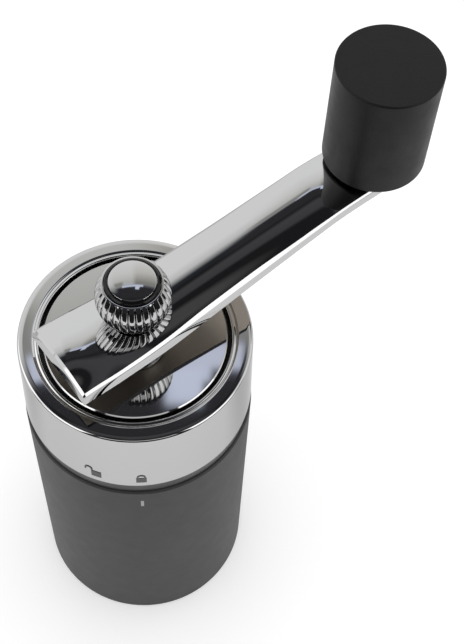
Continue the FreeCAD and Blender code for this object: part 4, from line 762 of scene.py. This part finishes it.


# The white sweep under the grinder
# Matt white paper, lit so evenly that neither a horizon nor a hard shadow shows on it.
# Only polished faces see painted reflection on it: it is painted dark at the front and at both sides, as a
# dark room would show, and painted shade darkens it behind the object.
FLOOR_HALF, FLOOR_WHITE, FLOOR_PAINTED_DARK, FLOOR_LIFT = 3.0, (0.78, 0.78, 0.78), (0.02, 0.02, 0.02), 0.34
PAINTED_DARK_FRONT, FRONT_SOFT, CORNER_SLANT, CORNER_SOFT = 0.19, 0.02, 0.8, 0.05
PAINTED_DARK_SIDE, SIDE_SOFT, SIDE_FADE = 0.27, 0.04, 0.08
PAINTED_SHADE_SLANT, PAINTED_SHADE_START, PAINTED_SHADE_END, PAINTED_SHADE_SHARE = 0.1, -0.015, 0.025, 0.25


def calculate(tree, operation, first, second=None):
    """One step of arithmetic on sockets or numbers, as a node."""
    step = tree.nodes.new("ShaderNodeMath")
    step.operation = operation
    for socket, value in zip(step.inputs, (first, second)):
        if isinstance(value, bpy.types.NodeSocket):
            tree.links.new(value, socket)
        elif value is not None:
            socket.default_value = value
    return step.outputs["Value"]


def step_up(tree, value, low, high):
    """0 below low, 1 above high and a soft step between."""
    step = tree.nodes.new("ShaderNodeMapRange")
    step.interpolation_type = "SMOOTHSTEP"
    step.inputs["From Min"].default_value = low
    step.inputs["From Max"].default_value = high
    tree.links.new(value, step.inputs["Value"])
    return step.outputs["Result"]


def seen_by(tree, *kinds):
    """1 for a ray of one of the kinds, else 0."""
    path = tree.nodes.new("ShaderNodeLightPath")
    total = path.outputs[kinds[0]]
    for kind in kinds[1:]:
        total = calculate(tree, "MAXIMUM", total, path.outputs[kind])
    return total


floor_paint = make_material("white_sweep", FLOOR_WHITE, 0.9)
floor_shader = floor_paint.node_tree.nodes["Principled BSDF"]
floor_shader.inputs["Specular IOR Level"].default_value = 0.0
floor_shader.inputs["Emission Color"].default_value = (1, 1, 1, 1)
paint = floor_paint.node_tree
spot = paint.nodes.new("ShaderNodeSeparateXYZ")
paint.links.new(paint.nodes.new("ShaderNodeTexCoord").outputs["Object"], spot.inputs["Vector"])
towards = calculate(paint, "MULTIPLY", spot.outputs["Y"], -1.0)
aside = calculate(paint, "ABSOLUTE", spot.outputs["X"])

# Painted reflection of a dark room: for polished faces only, the paper is painted dark past these lines in
# front and at both sides.
past_front = step_up(paint, towards, PAINTED_DARK_FRONT, PAINTED_DARK_FRONT + FRONT_SOFT)
before_corner = calculate(paint, "SUBTRACT", towards, calculate(paint, "MULTIPLY", aside, CORNER_SLANT))
in_front = calculate(paint, "MULTIPLY", past_front, step_up(paint, before_corner, 0, CORNER_SOFT))
past_side = step_up(paint, aside, PAINTED_DARK_SIDE, PAINTED_DARK_SIDE + SIDE_SOFT)
beside = calculate(paint, "MULTIPLY", past_side, step_up(paint, towards, 0, SIDE_FADE))
# Painted shade: behind the object the paper is painted darker, seen only by polished faces.
slanted = calculate(paint, "SUBTRACT", calculate(paint, "MULTIPLY", spot.outputs["X"], PAINTED_SHADE_SLANT), towards)
painted_shade = calculate(paint, "MULTIPLY", step_up(paint, slanted, PAINTED_SHADE_START, PAINTED_SHADE_END), PAINTED_SHADE_SHARE)
painted_dark = calculate(paint, "MAXIMUM", calculate(paint, "MAXIMUM", in_front, beside), painted_shade)
painted_dark = calculate(paint, "MULTIPLY", painted_dark, seen_by(paint, "Is Glossy Ray"))
light_part = calculate(paint, "SUBTRACT", 1.0, painted_dark)
tint(floor_paint, light_part, FLOOR_PAINTED_DARK, FLOOR_WHITE)

shown = seen_by(paint, "Is Camera Ray", "Is Glossy Ray", "Is Transmission Ray")
lifted = calculate(paint, "MULTIPLY", calculate(paint, "MULTIPLY", shown, FLOOR_LIFT), light_part)
paint.links.new(lifted, floor_shader.inputs["Emission Strength"])

floor_corners = [(x * FLOOR_HALF, y * FLOOR_HALF, 0) for x, y in ((-1, -1), (1, -1), (1, 1), (-1, 1))]
floor_mesh = bpy.data.meshes.new("studio_floor")
floor_mesh.from_pydata(floor_corners, [], [range(4)])
floor_mesh.materials.append(floor_paint)
floor = bpy.data.objects.new("studio_floor", floor_mesh)
bpy.context.scene.collection.objects.link(floor)


# The light tent
# White cloth round the sweep, with an open dark roof, a dark side for the camera and soft boxes in front.
# Polished faces show it by direction, and the object's own colours are lit evenly.
world = bpy.data.worlds.new("light_tent")
bpy.context.scene.world = world
world.use_nodes = True
sky = world.node_tree
direction = sky.nodes.new("ShaderNodeSeparateXYZ")
sky.links.new(sky.nodes.new("ShaderNodeTexCoord").outputs["Generated"], direction.inputs["Vector"])
elevation = calculate(sky, "DEGREES", calculate(sky, "ARCSINE", direction.outputs["Z"]))
azimuth = calculate(sky, "ARCTAN2", direction.outputs["Y"], direction.outputs["X"])
azimuth = calculate(sky, "DEGREES", azimuth)


def window(value, low, high, soft):
    """1 between low and high, with soft edges outside them."""
    above = step_up(sky, value, low - soft, low)
    below = calculate(sky, "SUBTRACT", 1.0, step_up(sky, value, high, high + soft))
    return calculate(sky, "MULTIPLY", above, below)


def patch(azimuths, elevations, soft):
    """1 in a soft-edged rectangle of the tent, in degrees; azimuth 90 is straight behind the object."""
    across = window(azimuth, *azimuths, soft[0])
    return calculate(sky, "MULTIPLY", across, window(elevation, *elevations, soft[1]))


def shades_by_height(stops):
    """A colour for each elevation in degrees, from (elevation, colour) stops."""
    ramp = sky.nodes.new("ShaderNodeValToRGB")
    sky.links.new(calculate(sky, "DIVIDE", elevation, 90.0), ramp.inputs["Fac"])
    elements = ramp.color_ramp.elements
    while len(elements) < len(stops):
        elements.new(0.5)
    for element, (height, _) in zip(elements, stops):
        element.position = height / 90
    for element, (_, colour) in zip(elements, stops):
        element.color = (*colour, 1)
    return ramp.outputs["Color"]


def laid_over(under, over, share):
    """One colour laid over another by a share; each is a socket or a colour."""
    mix = sky.nodes.new("ShaderNodeMix")
    mix.data_type = "RGBA"
    sky.links.new(share, mix.inputs["Factor"])
    for socket, colour in ((mix.inputs["A"], under), (mix.inputs["B"], over)):
        if isinstance(colour, bpy.types.NodeSocket):
            sky.links.new(colour, socket)
        else:
            socket.default_value = (*colour, 1)
    return mix.outputs["Result"]


tent = shades_by_height(
    [
        (0, (1.18, 1.18, 1.18)),
        (50, (1.15, 1.15, 1.15)),
        (57, (0.90, 0.90, 0.90)),
        (63, (0.035, 0.040, 0.048)),
        (68, (0.018, 0.018, 0.02)),
        (71, (0.085, 0.085, 0.09)),
        (76, (0.075, 0.075, 0.08)),
        (78, (0.018, 0.018, 0.02)),
        (82, (0.018, 0.018, 0.02)),
        (85, (0.09, 0.09, 0.09)),
    ]
)
back_left = shades_by_height(
    [
        (0, (1.18, 1.18, 1.18)),
        (43, (1.15, 1.16, 1.16)),
        (52, (1.0, 1.0, 0.99)),
        (55.5, (0.86, 0.86, 0.84)),
        (58, (0.70, 0.70, 0.67)),
        (58.8, (0.78, 0.80, 0.90)),
        (60.3, (0.10, 0.10, 0.13)),
        (61.2, (0.04, 0.04, 0.045)),
    ]
)
back_right = shades_by_height(
    [
        (0, (1.18, 1.18, 1.18)),
        (43, (1.15, 1.15, 1.14)),
        (52, (0.85, 0.84, 0.80)),
        (55.5, (0.60, 0.58, 0.54)),
        (58, (0.37, 0.37, 0.35)),
        (59.2, (0.36, 0.36, 0.36)),
        (60.3, (0.12, 0.12, 0.15)),
        (61.2, (0.04, 0.04, 0.045)),
    ]
)
ROOF_SHADE, SKYLIGHT, LILAC = (0.40, 0.40, 0.38), (0.92, 1.0, 1.22), (0.86, 0.92, 1.12)
CAMERA_SIDE, SOFT_BOX, FRONT_GLOW = (0.03, 0.03, 0.035), (2.1, 2.1, 2.1), (0.8, 0.8, 0.8)
for colour, azimuths, elevations, soft in (
    (back_left, (89, 103), (-5, 66), (5, 3)),
    (back_right, (66, 86), (-5, 66), (5, 3)),
    (ROOF_SHADE, (99.6, 104), (58.0, 59.2), (3, 1.6)),
    (SKYLIGHT, (83.7, 84.6), (60.2, 61.0), (0.8, 0.5)),
    (SKYLIGHT, (84.4, 87.2), (60.5, 62.0), (0.8, 0.6)),
    (LILAC, (80.8, 99.3), (59.7, 60.4), (0.6, 0.5)),
    (CAMERA_SIDE, (-180, 0), (-5, 5), (1, 2)),
    (CAMERA_SIDE, (-132, -54), (-5, 95), (3, 1)),
    (SOFT_BOX, (-168, -136), (8, 54), (3, 3)),
    (SOFT_BOX, (-51, -12), (8, 54), (2, 3)),
    (SOFT_BOX, (145, 178), (20, 55), (3, 3)),
    (FRONT_GLOW, (-122, -64), (26, 44), (3, 3)),
):
    tent = laid_over(tent, colour, patch(azimuths, elevations, soft))

DIFFUSE_LEVEL = 0.78
in_metal = sky.nodes["Background"]
sky.links.new(tent, in_metal.inputs["Color"])
even = sky.nodes.new("ShaderNodeBackground")
even.inputs["Color"].default_value = (1, 1, 1, 1)
seen_directly = seen_by(sky, "Is Camera Ray", "Is Transmission Ray")
sky.links.new(calculate(sky, "MAXIMUM", seen_directly, DIFFUSE_LEVEL), even.inputs["Strength"])
mixed = sky.nodes.new("ShaderNodeMixShader")
sky.links.new(seen_by(sky, "Is Glossy Ray"), mixed.inputs["Fac"])
sky.links.new(even.outputs["Background"], mixed.inputs[1])
sky.links.new(in_metal.outputs["Background"], mixed.inputs[2])
sky.links.new(mixed.outputs["Shader"], sky.nodes["World Output"].inputs["Surface"])


# The overhead lamp
# One big soft box, high above and a little behind, that fills the object's own colours.
# It doesn't show in the polished faces.
LAMP_WATTS, LAMP_SIZE, LAMP_PLACE, LAMP_TARGET = 6.5, 1.2, (0.1, 0.2, 1.5), (0, 0, 0.06)
lamp_data = bpy.data.lights.new("overhead_fill", "AREA")
lamp_data.energy = LAMP_WATTS
lamp_data.size = LAMP_SIZE
lamp = bpy.data.objects.new("overhead_fill", lamp_data)
lamp.location = LAMP_PLACE
lamp.rotation_euler = (Vector(LAMP_TARGET) - Vector(LAMP_PLACE)).to_track_quat("-Z", "Y").to_euler()
lamp.visible_glossy = False
bpy.context.scene.collection.objects.link(lamp)


# The camera
# It stands in front and looks steeply down, turned and rolled a little, as in the photograph.
# Its place, angles and lens were fitted to the ellipses of ring, body and handle.
CAMERA_PLACE, CAMERA_LENS = (0, -0.15543, 0.36845), 71.82
CAMERA_PITCH, CAMERA_YAW, CAMERA_ROLL = 58.53, 8.30, 3.72
camera_data = bpy.data.cameras.new("studio_camera")
camera_data.lens = CAMERA_LENS
camera_data.sensor_width = 36
camera_data.clip_start = 0.01
camera = bpy.data.objects.new("studio_camera", camera_data)
aim = (
    Matrix.Rotation(math.radians(-CAMERA_YAW), 4, "Z")
    @ Matrix.Rotation(math.radians(90 - CAMERA_PITCH), 4, "X")
    @ Matrix.Rotation(math.radians(CAMERA_ROLL), 4, "Z")
)
camera.matrix_world = Matrix.Translation(CAMERA_PLACE) @ aim
bpy.context.scene.collection.objects.link(camera)
bpy.context.scene.camera = camera
bpy.context.scene.view_settings.view_transform = "Standard"
